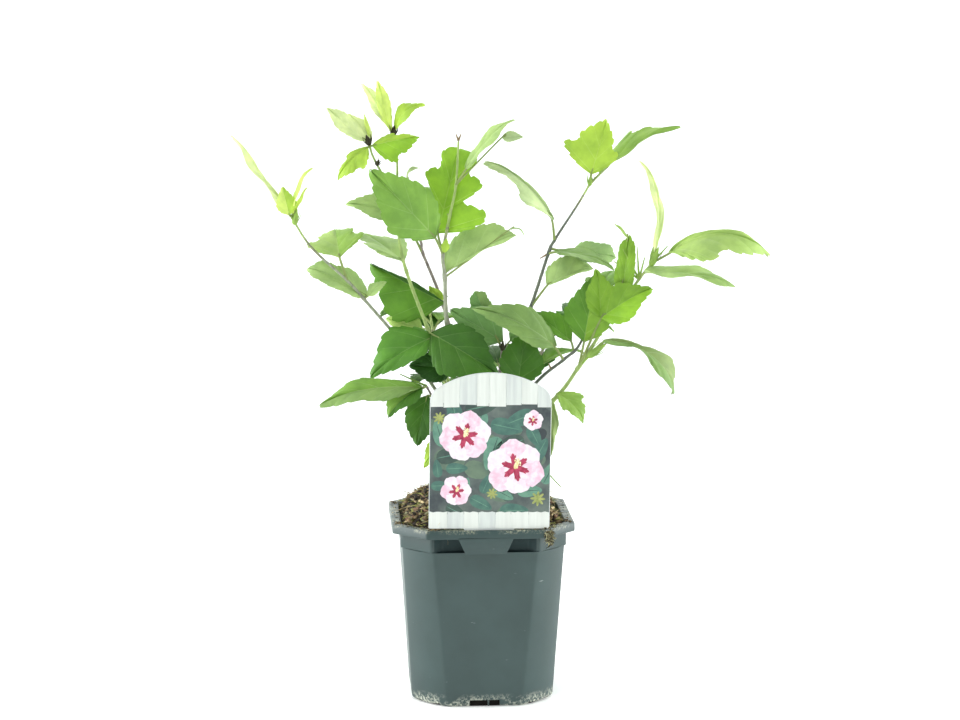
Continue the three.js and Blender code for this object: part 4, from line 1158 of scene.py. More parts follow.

# %% [markdown]
# Everything that grows here hangs on thirteen limbs. A limb is a smooth curve through a few points. A
# leaf says where on that curve it springs, how its stalk and its blade run, which way its upper side
# looks, and which tint it has. Young leaves at the tips are pale, old ones in the middle are deep green,
# and the tints also paint light and shade: a leaf in shade takes a dark tint, a lit one a brighter tint,
# and where the fold of a leaf divides light from shade, its halves take a lit and a shaded tint.

# %% Words for leaves, buds and limbs
def leaf(at, stalk, blade, face, tint, arch=0, wide=1, edge="oval", other=None):
    """A leaf; wide may be a pair for its right and left half; other, the left half's tint, paints the light
    and shade that the fold divides
    """
    right, left = wide if isinstance(wide, tuple) else (wide, wide)
    return {"at": at, "stalk": stalk, "blade": blade, "face": face, "tint": tint, "arch": arch,
            "right": right, "left": left, "edge": edge, "other": other or tint}


def young(at, stalk, blade, face, tint, arch=0, wide=1):
    """A narrow young leaf"""
    return leaf(at, stalk, blade, face, tint, arch, wide, "narrow")


def bud(at, body, radius, dark=True, stalk=None):
    """A bud; body runs from its foot to its point"""
    return {"at": at, "body": body, "radius": radius, "dark": dark, "stalk": stalk}


def spike(at, body, arch=0, dry=False):
    """A thin stalk or bract"""
    return {"at": at, "body": body, "arch": arch, "dry": dry}


def limb(path, radii, green, leaves=(), buds=(), spikes=(), grown=None):
    """A limb; green says where its bark turns into a green shoot, grown how its leaves follow a rule"""
    return {"path": path, "radii": radii, "green": green, "leaves": list(leaves), "buds": list(buds),
            "spikes": list(spikes), "grown": grown}


LIMBS = {}
print("words for the plant: leaf, young, bud, spike, limb")

# %% Limbs on the left
LIMBS["far_left"] = limb(
    [(-1, 11, 192), (-17, 8, 216), (-54, 4, 273), (-93, -2, 321), (-106, -4, 336), (-134, -8, 363),
     (-150, -10, 388)], (1.9, 0.9), 5.2, [
        leaf(3, (2, 4, 2), (-48, 4, 23), (0.3, -0.65, 0.65), "sage", 3, (0.7, 0.6), "blunt"),
        leaf(4, (-6, 3, 18), (-6, 44, 20), (-0.2, -0.25, 0.95), "leaf_light", 2, 1.2, "lobed", "fresh_light"),
        young(6, (-1, 0, 2), (-42, -6, 64), (0.8, -0.3, 0.5), "pale", -3, 0.5),
        leaf(6, (-1, -2, 1), (-5, -4, 23), (0, -1, 0), "fresh", other="lime"),
        young(6, (2, 0, 2), (14, -4, 38), (-0.9, -0.3, 0.3), "lime", 3),
        young(6, (2, 1, 1), (10, 5, 22), (-0.6, -0.6, 0.4), "lime", 0, 0.7),
        leaf(3, (3, 1, 2), (15, 2, 12), (-0.2, -0.5, 0.8), "sage", 1, 1.1),
    ], [bud(5.8, (2, -1, 11), 2.6, False)])
LIMBS["left_tall"] = limb(
    [(-1, 11, 200), (-14, 13, 223), (-42, 0, 297), (-59, 2, 343), (-65, 2, 372), (-66, 2, 401),
     (-66, 4, 434), (-69, 4, 452)], (1.9, 0.9), 1.2, [
        leaf(2, (3, -9, -3), (55, -22, -31), (0.3, -0.95, 0.25), "deep_mid", 4, (1.1, 0.9), other="deep"),
        leaf(3, (-2, 1, 7), (-38, 36, 21), (0.1, -0.1, 1), "sage", 2, 1, "lobed"),
        leaf(2, (-4, 10, -2), (-31, 7, 8), (0, -0.9, 0.3), "fresh_light", 2, 0.9),
        young(7, (-1, 1, 3), (-23, 6, 38), (0.5, -0.8, 0.3), "pale", 0, 1.05),
        young(7, (-2, -1, 3), (-10, -2, 40), (0.2, -1, 0), "lime", 0, 1),
        leaf(7, (2, -1, 4), (24, -5, 21), (-0.5, -0.6, 0.6), "fresh", 7, 0.85),
        young(5.4, (8, 0, 2), (11, -2, 9), (-0.4, -0.6, 0.7), "sage_pale", 5, 1.2),
    ], [bud(4.6, (-4, -3, 6), 2), bud(7, (1, -1, 7), 2.6)])
LIMBS["left_mid"] = limb(
    [(-1, 11, 206), (-4, 27, 223), (-30, 22, 313), (-46, 20, 355), (-50, 17, 370), (-82, 4, 428),
     (-88, -2, 445)], (1.8, 0.9), 4.6, [
        leaf(2, (-1, -2, 1), (-10, -3, 15), (0, -1, 0.2), "fresh", 0, 0.9),
        leaf(3, (-15, -3, 30), (-47, -8, 12), (0.1, -0.8, 0.5), "sage", 4, (0.8, 0.6)),
        leaf(5.9, (-1, -3, -1), (-25, -10, -25), (-0.5, -0.8, 0.3), "fresh", 4, (0.4, 1.1), "lobed"),
        leaf(5.9, (2, -3, 0), (38, -4, 8), (0.1, -0.9, 0.3), "bright", 2, (1.15, 0.4), "lobed", "fresh"),
        young(6, (-1, -1, 2), (-31, -6, 27), (-0.5, -0.5, 0.7), "pale", -3, 1.4),
        leaf(6, (2, 3, 4), (-19, 6, 20), (0.2, -0.8, 0.6), "pale", 0, 0.7),
        young(6, (1, 3, 2), (-5, 3, 22), (0.2, -1, 0), "lime", 0, 0.5),
    ], [bud(5, (2, -4, 4), 1.8), bud(6, (-2, -3, 7), 2.6)])
LIMBS["low_left"] = limb(
    [(-1, 11, 187), (-11, 2, 202), (-30, -6, 228), (-43, -12, 252)], (1.7, 1), 9, [
        leaf(3, (-4, -5, -1), (-82, -19, -9), (-0.05, -0.7, 0.7), "leaf", 9, (0.9, 1.2), "narrow",
             "sage_mid"),
        leaf(3, (-3, -6, 0), (-28, -16, -21), (-0.4, -0.75, 0.5), "leaf", 4, (1.3, 0.8), other="deep_mid"),
        leaf(2.6, (-4, -4, 2), (-9, -6, -41), (-0.2, -1, 0), "deep_mid", 3, other="deep"),
        leaf(1.3, (-4, -6, 2), (-26, -12, -24), (-0.3, -0.8, 0.5), "fresh", 3, 0.8),
    ], spikes=[spike(3, (-21, -2, 10))])
print("limbs on the left:", len(LIMBS))

# %% Limbs in the middle
LIMBS["centre_tall"] = limb(
    [(-1, 10, 209), (-7, 1, 230), (-25, -4, 288), (-28, -8, 339), (-29.5, -9, 358), (-24, -9, 388),
     (-19, -8, 413), (-17, -8, 448)], (2.3, 0.9), 4.6, [
        leaf(1.6, (-3, -4, 2), (-36, -2, 3), (0.1, -0.9, 0.4), "dark", 0, 1.15),
        leaf(2, (-11, -1, 3), (-53, -16, -31), (-0.3, -0.8, 0.5), "leaf_deep", 6, (1.05, 0.65)),
        leaf(2.45, (-1, 15, 3), (-62, 14, 31), (-0.2, -0.95, 0.1), "deep", 2, (0.15, 1.2), other="leaf_mid"),
        leaf(3, (1, 4, 4), (56, 6, 30), (-0.15, -0.75, 0.65), "sage", 3, (0.1, 1), "blunt"),
        leaf(4, (-6, -9, 14), (-52, -12, 56), (0.2, -1, 0), "leaf", 6, (0.8, 0.85)),
        leaf(4, (-4, 4, 16), (17, 10, 68), (-0.1, -1, 0.1), "bright", 2, (1.1, 0.9), "deep"),
        leaf(4, (1, -2, 1), (2, -3, 12), (0, -1, 0.2), "fresh", 0, 0.8),
        young(6, (8, -3, 13), (37, -5, 41), (-0.6, -0.5, 0.6), "sage", 3, 1.1),
        leaf(6, (36, -9, 38), (17, -3, 1), (0, -0.8, 0.6), "sage_pale", 0, 0.9),
        leaf(5, (-4, 10, 4), (-14, 46, 12), (0.1, 0.1, 1), "leaf", 6, 1, "lobed"),
        young(3, (51, 9, 37), (13, -1, -5), (0, -0.3, 0.95), "sage", 4, 0.6),
    ], spikes=[spike(7, (-2, 0, 5), dry=True), spike(7, (2, 0, 5), dry=True)])
LIMBS["centre_low"] = limb(
    [(-1, 10, 200), (6, -1, 222), (14, -6, 250), (18, -8, 281)], (1.9, 1.2), 9, [
        leaf(3, (0, 4, 6), (-43, 2, 26), (-0.1, -0.95, 0.3), "grey", 3, (0.95, 0.75)),
        leaf(3, (-13, 7, 25), (-9, 3, 21), (0.1, -1, 0.2), "sage_mid", 0, 1, "blunt", "grey"),
        leaf(2, (16, -2, 2), (6, 5, 44), (0.1, -1, 0.1), "deep_mid", 3, 1.15),
        leaf(3, (6, 6, 6), (18, 6, 12), (0, -0.8, 0.6), "grey", 0, 1.1),
        leaf(2.5, (-2, 8, 3), (-8, 42, 6), (0, 0.1, 1), "deep", 6, 1, "lobed"),
    ], [bud(3, (0, -2, 7), 2)])
LIMBS["back_centre"] = limb(
    [(-1, 11, 195), (3, 26, 208), (5, 52, 230), (6, 74, 243)], (1.9, 1), 9,
    grown=(5, 5, 1.7, 106, 50))
print("limbs with the middle ones:", len(LIMBS))

# %% Limbs on the right and at the back
LIMBS["right_tall"] = limb(
    [(-1, 11, 206), (11, 14, 228), (40, 16, 309), (55, 18, 355), (60, 18, 366), (78, 18, 394),
     (88, 18, 411)], (1.9, 0.9), 5.4, [
        leaf(2.05, (13, -3, 18), (38, 4, 14), (-0.2, -0.8, 0.5), "sage", 5, (0.2, 1.1), "blunt"),
        leaf(3, (5, -4, 2), (48, -18, -11), (0.3, -0.25, 0.9), "sage_mid", 3, 0.8),
        leaf(3.2, (18, 3, -4), (36, -1, -3), (0.2, -0.9, 0.4), "sage_soft", 2, (0.6, 0.8), "blunt"),
        leaf(4, (-2, -7, 17), (-54, -8, 50), (0.57, -0.57, 0.57), "sage_pale", 8, (0.08, 0.6), "lobed"),
        leaf(6, (1, -2, 8), (12, -6, 45), (0, -1, 0.1), "fresh", 2, (0.85, 1.4), "lobed"),
        leaf(6, (8, -2, 9), (62, -10, 41), (-0.3, -0.3, 0.85), "leaf_light", 4, (0.12, 0.8), "lobed"),
    ], [bud(6, (1, -1, 8), 2, False)], [spike(3, (-7, 0, -4), dry=True)])
LIMBS["right_mid"] = limb(
    [(-1, 11, 193), (9, 9, 208), (46, -2, 254), (67, -4, 272), (80, 0, 284), (92, 6, 314)],
    (1.9, 1), 9, [
        leaf(3, (-7, -3, 11), (-67, -16, 35), (0.3, -0.8, 0.55), "leaf_soft", 9, (0.6, 0.55)),
        leaf(3.6, (-2, 2, 8), (-32, 4, 24), (0.3, -0.9, 0.2), "leaf_mid", 2, (0.9, 0.35)),
        leaf(5, (4, 6, 6), (16, 34, 18), (-0.2, -0.1, 1), "leaf", 6, 1, "lobed"),
        leaf(4.4, (-2, 7, 4), (-14, 40, -2), (0, 0.1, 1), "leaf_deep", 7, 1, "lobed"),
    ], [bud(5, (1, 1, 8), 2, False)], [spike(2.45, (-2, -1, 5), dry=True)])
LIMBS["right_low"] = limb(
    [(-1, 11, 183), (10, 6, 195), (58, -8, 239), (79, -14, 268), (100, -18, 302), (126, -20, 339),
     (136, -21, 352)], (2.3, 1), 0.6, [
        leaf(2, (0, 9, -1), (-1, 6, -50), (0.5, -0.85, 0), "olive", 0, 0.35),
        leaf(2.15, (-1, -4, 2), (22, -10, -22), (0.5, -0.6, 0.6), "leaf_light", 4, 1.1, "lobed"),
        leaf(3, (19, -6, 21), (59, -10, -40), (0.6, -0.35, 0.7), "leaf_soft", 14, 1, "spoon", "olive"),
        leaf(3, (4, 1, 20), (10, -2, 56), (-0.2, -1, 0.1), "green", 3, (1, 0.95), other="leaf_mid"),
        leaf(3, (17, -7, 40), (40, -8, 26), (-0.35, -0.8, 0.4), "bright", 3, 1.05, other="green"),
        leaf(3, (17, -5, 40), (-4, -2, 40), (0.3, -1, 0), "green", 2, 0.9),
        leaf(4.4, (3, 2, 6), (4, -2, 51), (-0.3, -0.9, 0), "green", 2, 0.45, "blunt"),
        leaf(5, (4, -4, 6), (72, -10, -8), (0.1, -0.3, 0.93), "sage", 3, (0.3, 0.5), "blunt"),
        leaf(6, (14, -5, 9), (80, -12, 1), (0.05, -0.6, 0.8), "fresh_light", 20, (1.05, 0.2), "lobed"),
        young(6, (1, -1, 10), (-10, -4, 73), (0.8, -0.7, 0), "pale", 10, 0.5),
        young(4.4, (6, 0, 53), (-11, -2, 13), (0.5, -0.8, 0.3), "fresh_light", 2, 0.6),
    ], [bud(6, (5, -3, 13), 3, False), bud(3, (13, -2, 10), 3, False, (9, -4, 10))], [
        spike(5, (-13, -2, 24)), spike(5, (-2, -3, 26)), spike(5, (4, -5, 18)),
        spike(6, (12, -4, 14)), spike(6, (2, -4, 24)), spike(5, (-20, 2, 14)),
    ])
LIMBS["low_right"] = limb(
    [(-1, 11, 178), (9, 2, 186), (24, -2, 206), (34, -6, 224)], (1.7, 1.1), 9, [
        leaf(2.4, (6, -8, 2), (14, -32, -14), (0.1, -0.4, 0.9), "deep", 5),
        leaf(3, (1, -4, 5), (-12, -32, 12), (0.1, -0.2, 0.95), "leaf_deep", 5),
    ], spikes=[spike(1.6, (47, -6, -29), 9)])
LIMBS["back_left"] = limb(
    [(-1, 11, 187), (-9, 22, 201), (-24, 48, 238), (-37, 66, 276), (-41, 74, 296)],
    (1.9, 1), 3.4, grown=(11, 7, 2, 115, 60))
LIMBS["back_right"] = limb(
    [(-1, 11, 185), (9, 21, 197), (30, 46, 228), (50, 62, 266), (60, 68, 292)],
    (1.9, 1), 3.4, grown=(29, 7, 2.3, 62, 60))
print("limbs:", len(LIMBS))

# %% [markdown]
# The limbs at the back are not described leaf by leaf. Their leaves follow a rule: each one stands
# apart from the last by the golden share of a fan, which is how plants spread leaves so that none
# stands straight above another.

# %% Leaves that follow the rule
GOLDEN_SHARE = 0.618
FAN_SCATTER = 0.12
GROWN_STALK = 11
GROWN_BLADE = (38, 56)
GROWN_RISE_DEGREES = (-24, 22)


def seeded_chance(seed):
    """The same chances each time, from a whole number"""
    state = seed
    while True:
        state = (state * 1664525 + 1013904223) % 4294967296
        yield state / 4294967296


def between(low, high, share):
    """The value at a share of the way from low to high"""
    return low + (high - low) * share


def grown_leaves(limb_at_back):
    """Leaves in a fan, spread by the golden share, from a limb's grown values"""
    seed, count, start, heading, fan = limb_at_back["grown"]
    chance = seeded_chance(seed)
    tip = len(limb_at_back["path"]) - 1
    leaves = []
    for k in range(count):
        share = 2 * (((k + 1) * GOLDEN_SHARE) % 1) - 1 + FAN_SCATTER * (next(chance) - 0.5)
        turn = math.radians(heading + fan * share)
        rise = math.radians(between(*GROWN_RISE_DEGREES, next(chance)))
        length = between(*GROWN_BLADE, next(chance))
        out = (math.cos(turn), math.sin(turn))
        stalk = (out[0] * GROWN_STALK, out[1] * GROWN_STALK, GROWN_STALK * 0.7)
        blade = (out[0] * math.cos(rise) * length, out[1] * math.cos(rise) * length, math.sin(rise) * length)
        tint = ("deep", "leaf", "leaf_deep")[k % 3]
        leaves.append(leaf(between(start, tip, k / (count - 1)), stalk, blade, (0, 0.05, 1), tint,
                           0.12 * length, 1, "lobed"))
    return leaves


for shape in LIMBS.values():
    if shape["grown"]:
        shape["leaves"] = grown_leaves(shape)
print("leaves on the shrub:", sum(len(shape["leaves"]) for shape in LIMBS.values()))

# %% [markdown]
# Wood is a tube along the limb's curve. It thins towards the tip, swells a little where a leaf springs,
# and has shallow furrows. One mesh runs from the stem right into the leaves, so no joint shows where
# the bough becomes a twig.

# %% Curves and tubes
def point_on_path(path, at):
    """The point at a count of path points, on a smooth curve through them"""
    last = len(path) - 1
    index = min(max(int(at), 0), last - 1)
    share = at - index
    start = np.array(path[index], float)
    end = np.array(path[index + 1], float)
    before = np.array(path[index - 1], float) if index > 0 else 2 * start - end
    after = np.array(path[index + 2], float) if index + 2 <= last else 2 * end - start
    leave = (end - before) / 2
    arrive = (after - start) / 2
    return (start + leave * share + (3 * end - 3 * start - 2 * leave - arrive) * share ** 2
            + (2 * start - 2 * end + leave + arrive) * share ** 3)


def unit(vector):
    """The vector with the length 1"""
    return vector / (np.linalg.norm(vector) or 1)


def tube(centres, radii, sides, furrow=0.0):
    """Points and faces of a round limb with closed ends; furrow is the depth of its relief"""
    centres = [np.asarray(centre, float) for centre in centres]
    last = len(centres) - 1
    across = None
    points = []
    for k, centre in enumerate(centres):
        along = unit(centres[min(k + 1, last)] - centres[max(k - 1, 0)])
        if across is None:
            across = np.cross(along, (0, 1, 0) if abs(along[1]) < 0.9 else (1, 0, 0))
        across = unit(across - along * across.dot(along))
        up = np.cross(along, across)
        for side in range(sides):
            angle = 2 * math.pi * side / sides
            out = across * math.cos(angle) + up * math.sin(angle)
            reach = radii[k]
            if furrow:
                spot = centre + out * radii[k]
                relief = noise.noise(Vector((spot[0] * 0.9, spot[1] * 0.9, spot[2] * 0.22)))
                fine = noise.noise(Vector((spot[0] * 2.3, spot[1] * 2.3, spot[2] * 1.4 + 7)))
                reach *= 1 + furrow * (relief + 0.6 * fine)
            points.append(tuple(centre + out * reach))
    return points, closed_loft_faces(last + 1, sides)


print("a point on the tallest limb:", point_on_path(LIMBS["left_tall"]["path"], 6.5).round(1))

# %% Wood of a limb
RING_STEP = 1.6
WOOD_SIDES = 12
# A limb is a little thinner than its plain solid, and thicker by a quarter where a leaf springs
WOOD_SHARE = 0.87
KNUCKLE_SHARE = 0.25
KNUCKLE_HALF_LENGTH = 2.4
LIMB_FURROW = 0.1
# The finishes of wood, as numbers that a pile gives to its faces
BARK_GREY, BARK_OLIVE, SHOOT_GREEN, BARK_SLATE, BARK_MOSS = range(5)
# Limbs whose bark isn't the usual grey
OWN_BARK = {"right_tall": BARK_SLATE, "right_mid": BARK_SLATE,
            "centre_tall": BARK_MOSS, "far_left": BARK_MOSS}


def path_lengths(path):
    """Many counts along a path, and the distance from its start to each"""
    counts = np.linspace(0, len(path) - 1, 40 * (len(path) - 1) + 1)
    places = np.array([point_on_path(path, at) for at in counts])
    steps = np.linalg.norm(np.diff(places, axis=0), axis=1)
    return counts, np.concatenate(([0], np.cumsum(steps)))


def wood_finish(name, green, at):
    """A limb's finish at a count of path points: its own bark, then olive, then the green shoot"""
    if at < green - 0.5:
        return OWN_BARK.get(name, BARK_GREY)
    return BARK_OLIVE if at < green else SHOOT_GREEN


def make_wood(name, shape, chance):
    """One limb from the stem to its tip; its finishes change at an uneven line"""
    path = shape["path"]
    tip = len(path) - 1
    counts, lengths = path_lengths(path)
    rings = int(lengths[-1] / RING_STEP)
    nodes = [np.interp(part["at"], counts, lengths) for part in shape["leaves"]]
    centres = []
    radii = []
    finishes = []
    for k in range(rings + 1):
        length = lengths[-1] * k / rings
        at = float(np.interp(length, lengths, counts))
        radius = WOOD_SHARE * between(*shape["radii"], at / tip)
        swell = sum(math.exp(-((length - node) / KNUCKLE_HALF_LENGTH) ** 2) for node in nodes)
        centres.append(point_on_path(path, at))
        radii.append(radius * (1 + KNUCKLE_SHARE * min(swell, 1.2)) * (1 if k < rings else 0.5))
        if k < rings:
            finishes += [wood_finish(name, shape["green"], at + chance.gauss(0, 0.12))
                         for _ in range(WOOD_SIDES)]
    points, faces = tube(centres, radii, WOOD_SIDES, LIMB_FURROW)
    pile = Pile()
    pile.add(in_metres(points), faces, finishes + [finishes[0], SHOOT_GREEN])
    return pile.make("wood_" + name, wood_finishes)


wood_finishes = make_finishes([
    ("bark_grey", (150, 141, 134), (112, 102, 98), 0.8, 420, 0.5, 0.3),
    ("bark_olive", (140, 144, 110), (108, 110, 84), 0.75, 420, 0.4, 0.3),
    ("shoot_green", (162, 186, 108), (130, 152, 84), 0.6, 300, 0.3, 0.2),
    ("bark_slate", (112, 118, 104), (80, 86, 78), 0.8, 420, 0.5, 0.3),
    ("bark_moss", (156, 162, 138), (122, 128, 106), 0.8, 420, 0.5, 0.3),
], (1, 1, 0.3))
wood_chance = random.Random(31)
for name, shape in LIMBS.items():
    wood = make_wood(name, shape, wood_chance)
    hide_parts("bough_" + name)
print("boughs and twigs:", len(LIMBS))

# %% [markdown]
# The short main stem rises out of the peat and spreads into roots just under it. Its top is a knuckle
# of old cuts from which the limbs spring. A lofted tube with deeper furrows than the boughs gives both.

# %% Main stem
STEM_FOOT = (0, 12, 142)
STEM_TOP = (-1, 10, 215)
STEM_RADII = (4.6, 3.4)
STEM_STEPS = 46
STEM_SIDES = 20
STEM_FURROW = 0.12
# Stubs of old cuts: where each starts and ends, and its radius
STUBS = [((2, 9, 196), (7, 3, 205), 1.7), ((-3, 12, 180), (-9, 15, 186), 1.5),
         ((0, 8, 190), (-3, 1, 194), 1.4)]


def make_stem():
    """The stem with its root flare and three stubs of old cuts"""
    pile = Pile()
    foot = np.array(STEM_FOOT, float)
    top = np.array(STEM_TOP, float)
    centres = []
    radii = []
    for k in range(STEM_STEPS + 1):
        share = k / STEM_STEPS
        sway = np.array((math.sin(share * 5) * 0.5, math.cos(share * 4) * 0.4, 0))
        centres.append(foot + (top - foot) * share + sway)
        flare = 1.7 * math.exp(-share * 9) + 0.35 * math.exp(-((share - 0.85) / 0.12) ** 2)
        radii.append(between(*STEM_RADII, share) + flare - (1.2 if k == STEM_STEPS else 0))
    points, faces = tube(centres, radii, STEM_SIDES, STEM_FURROW)
    pile.add(in_metres(points), faces)
    for start, end, thick in STUBS:
        stub = [between(np.array(start, float), np.array(end, float), step / 4) for step in range(5)]
        points, faces = tube(stub, [thick, thick, thick * 0.95, thick * 1.05, thick * 0.8], 10, 0.15)
        pile.add(in_metres(points), faces, BARK_OLIVE)
    return pile.make("stem_wood", wood_finishes)


stem_wood = make_stem()
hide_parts("main_stem")
print("faces in the stem:", len(stem_wood.data.polygons))

# %% [markdown]
# Leaves of a hibiscus vary on one plant: some are oval, some have three lobes, and young ones are narrow.
# All have rounded teeth that point forward. The veins run from the midrib out to the lobes, and the
# green between them puffs up a little. So a blade is built from columns that run along its veins: half
# an outline is given with few points, a smooth curve joins them, and one rule adds the teeth.

# %% Outlines of a blade
# Points of half an outline: along the midrib, across it, and where a vein ends the foot of that vein
OUTLINES = {
    "oval": [(0, 0.012, 0), (0.04, 0.07), (0.12, 0.18), (0.2, 0.255, 0.01), (0.34, 0.33),
             (0.46, 0.33, 0.12), (0.58, 0.285), (0.7, 0.21, 0.36), (0.82, 0.13), (0.88, 0.088, 0.62),
             (0.95, 0.04), (1, 0.004, 0.96)],
    "lobed": [(0, 0.012, 0), (0.05, 0.05), (0.12, 0.13), (0.2, 0.24, 0.01), (0.3, 0.32), (0.4, 0.39),
              (0.45, 0.4, 0.05), (0.49, 0.35), (0.51, 0.28), (0.55, 0.245), (0.64, 0.25, 0.28),
              (0.74, 0.2), (0.83, 0.13, 0.52), (0.92, 0.055), (1, 0.004, 0.96)],
    "deep": [(0, 0.012, 0), (0.04, 0.12), (0.1, 0.25), (0.17, 0.35, 0.005), (0.25, 0.42),
             (0.31, 0.435, 0.03), (0.36, 0.39), (0.375, 0.29), (0.39, 0.19), (0.43, 0.165),
             (0.49, 0.22), (0.55, 0.29), (0.61, 0.33, 0.28), (0.67, 0.31), (0.695, 0.24),
             (0.72, 0.175), (0.77, 0.165), (0.84, 0.19), (0.9, 0.19, 0.6), (0.96, 0.15), (0.99, 0.08),
             (1, 0.004, 0.96)],
    "blunt": [(0, 0.012, 0), (0.03, 0.11), (0.1, 0.24), (0.2, 0.31, 0.01), (0.35, 0.34),
              (0.5, 0.33, 0.16), (0.65, 0.315), (0.78, 0.29, 0.42), (0.86, 0.24), (0.89, 0.17),
              (0.93, 0.1, 0.66), (1, 0.004, 0.96)],
    "spoon": [(0, 0.012, 0), (0.1, 0.035), (0.25, 0.06, 0.1), (0.4, 0.07), (0.5, 0.11, 0.28),
              (0.6, 0.18), (0.72, 0.22, 0.46), (0.84, 0.2), (0.93, 0.11, 0.7), (1, 0.004, 0.96)],
    "narrow": [(0, 0.012, 0), (0.08, 0.045), (0.2, 0.085, 0.02), (0.35, 0.11), (0.52, 0.125, 0.22),
               (0.68, 0.115, 0.42), (0.82, 0.075, 0.6), (0.92, 0.035), (1, 0.004, 0.96)],
}
# Length of a tooth along the edge and its depth, in blade lengths
TEETH = {"oval": (0.15, 0.032), "lobed": (0.14, 0.035), "deep": (0.13, 0.03), "blunt": (0.13, 0.03),
         "spoon": (0.16, 0.03), "narrow": (0.15, 0.015)}
TEETH_START = 0.16
STEPS_PER_TOOTH = 8
VEIN_HALF_WIDTH = 0.0075


def tooth_height(phase):
    """A tooth from its low start at 0 over its rounded back to the sudden drop near 1"""
    return math.sqrt(phase / 0.8) if phase < 0.8 else (1 - phase) / 0.2


def smooth_outline(edge, tooth):
    """Half an outline with its teeth, as points with the foot of a vein where one ends"""
    rough = [point[:2] for point in edge]
    line = []
    for k, (u, v, *foot) in enumerate(edge):
        if k:
            length = math.dist(rough[k - 1], rough[k])
            steps = max(1, round(length * STEPS_PER_TOOTH / tooth[0]))
            for step in range(1, steps):
                line.append((*point_on_path(rough, k - 1 + step / steps), None))
        line.append((u, v, foot[0] if foot else None))
    outline = []
    gone = 0.0
    for k, (u, v, foot) in enumerate(line):
        before = line[max(k - 1, 0)]
        after = line[min(k + 1, len(line) - 1)]
        gone += math.dist(before[:2], (u, v))
        along = unit(np.array((after[0] - before[0], after[1] - before[1])))
        out = (-along[1] + 0.35 * along[0], along[0] + 0.35 * along[1])
        fade = min(1, max(0, (gone - TEETH_START) / 0.1), (1.02 - u) / 0.12)
        height = tooth[1] * fade * (tooth_height(gone / tooth[0] % 1) - 0.35) if 0 < k < len(line) - 1 else 0
        outline.append((u + out[0] * height, max(v + out[1] * height, 0.004), foot))
    return outline


def make_columns(edge):
    """Columns of half a blade: foot, edge point, puff, and whether a vein lies between it and the next"""
    columns = []
    veins = [k for k, point in enumerate(edge) if point[2] is not None]
    for first, last in zip(veins, veins[1:]):
        line = [edge[k][:2] for k in range(first, last + 1)]
        gone = np.concatenate(([0], np.cumsum([math.dist(a, b) for a, b in zip(line, line[1:])])))
        foot_low = edge[first][2] + (VEIN_HALF_WIDTH if first else 0)
        foot_high = edge[last][2] - (VEIN_HALF_WIDTH if last < veins[-1] else 0)
        for k, (u, v) in enumerate(line):
            share = gone[k] / gone[-1]
            ends_vein = k == len(line) - 1 and last < veins[-1]
            nudge = 0.0015 if k == 0 and first else -0.0015 if ends_vein else 0
            columns.append((between(foot_low, foot_high, share), u + nudge, v - abs(nudge) * 0.3,
                            math.sin(math.pi * share), ends_vein))
    return columns


blade_columns = {name: make_columns(smooth_outline(edge, TEETH[name])) for name, edge in OUTLINES.items()}
print("columns in half a blade:", {name: len(columns) for name, columns in blade_columns.items()})

# %% Faces of a blade
ROWS = np.array([0, 0.14, 0.32, 0.52, 0.72, 0.88, 1.0])


def blade_faces(columns):
    """Faces of a closed blade, and for each: top or underside, left or right, vein or green"""
    count = len(columns)
    rows = len(ROWS) + 1
    width = 2 * rows - 1

    def index(column, row, side, layer):
        place = rows - 1 + side * row
        return (layer * count + column) * width + place

    faces = []
    kinds = []
    for column in range(count - 1):
        for side in (1, -1):
            for row in range(rows - 1):
                vein = row == 0 or columns[column][4]
                for layer in (0, 1):
                    face = [index(column, row, side, layer), index(column, row + 1, side, layer),
                            index(column + 1, row + 1, side, layer), index(column + 1, row, side, layer)]
                    if (side == 1) == (layer == 1):
                        face.reverse()
                    faces.append(tuple(face))
                    kinds.append((layer, side, vein))
    loop = [(0, row, 1) for row in range(rows)] + [(column, rows - 1, 1) for column in range(1, count)]
    loop += [(count - 1, row, 1) for row in range(rows - 2, -1, -1)]
    loop += [(count - 1, row, -1) for row in range(1, rows)]
    loop += [(column, rows - 1, -1) for column in range(count - 2, -1, -1)]
    loop += [(0, row, -1) for row in range(rows - 2, -1, -1)]
    for (c0, r0, s0), (c1, r1, s1) in zip(loop, loop[1:]):
        faces.append((index(c0, r0, s0, 1), index(c1, r1, s1, 1), index(c1, r1, s1, 0), index(c0, r0, s0, 0)))
        kinds.append((1, s0 if s0 == s1 else 1, False))
    return faces, kinds


blade_patterns = {name: blade_faces(columns) for name, columns in blade_columns.items()}
print("faces in an oval blade:", len(blade_patterns["oval"][0]))

# %% Shape of a blade
FOLD_DEGREES = 9
BLADE_HALF_MM = 0.14
# These are in blade lengths: the round of the fold, the midrib's half width, how far the green puffs up
# between veins and between midrib and edge, how far the edge waves, where and how far the tip droops, and
# how far the veins stand out underneath; EDGE_DRIFT is a share of the blade's width
FOLD_ROUND = 0.09
RIB_HALF = 0.008
VEIN_PUFF = 0.008
HALF_PUFF = 0.02
EDGE_DRIFT = 0.07
LEAST_WAVE = 0.01
EXTRA_WAVE = 0.02
TIP_DROOP = 0.06
DROOP_START = 0.65
VEIN_DEPTH = 0.009


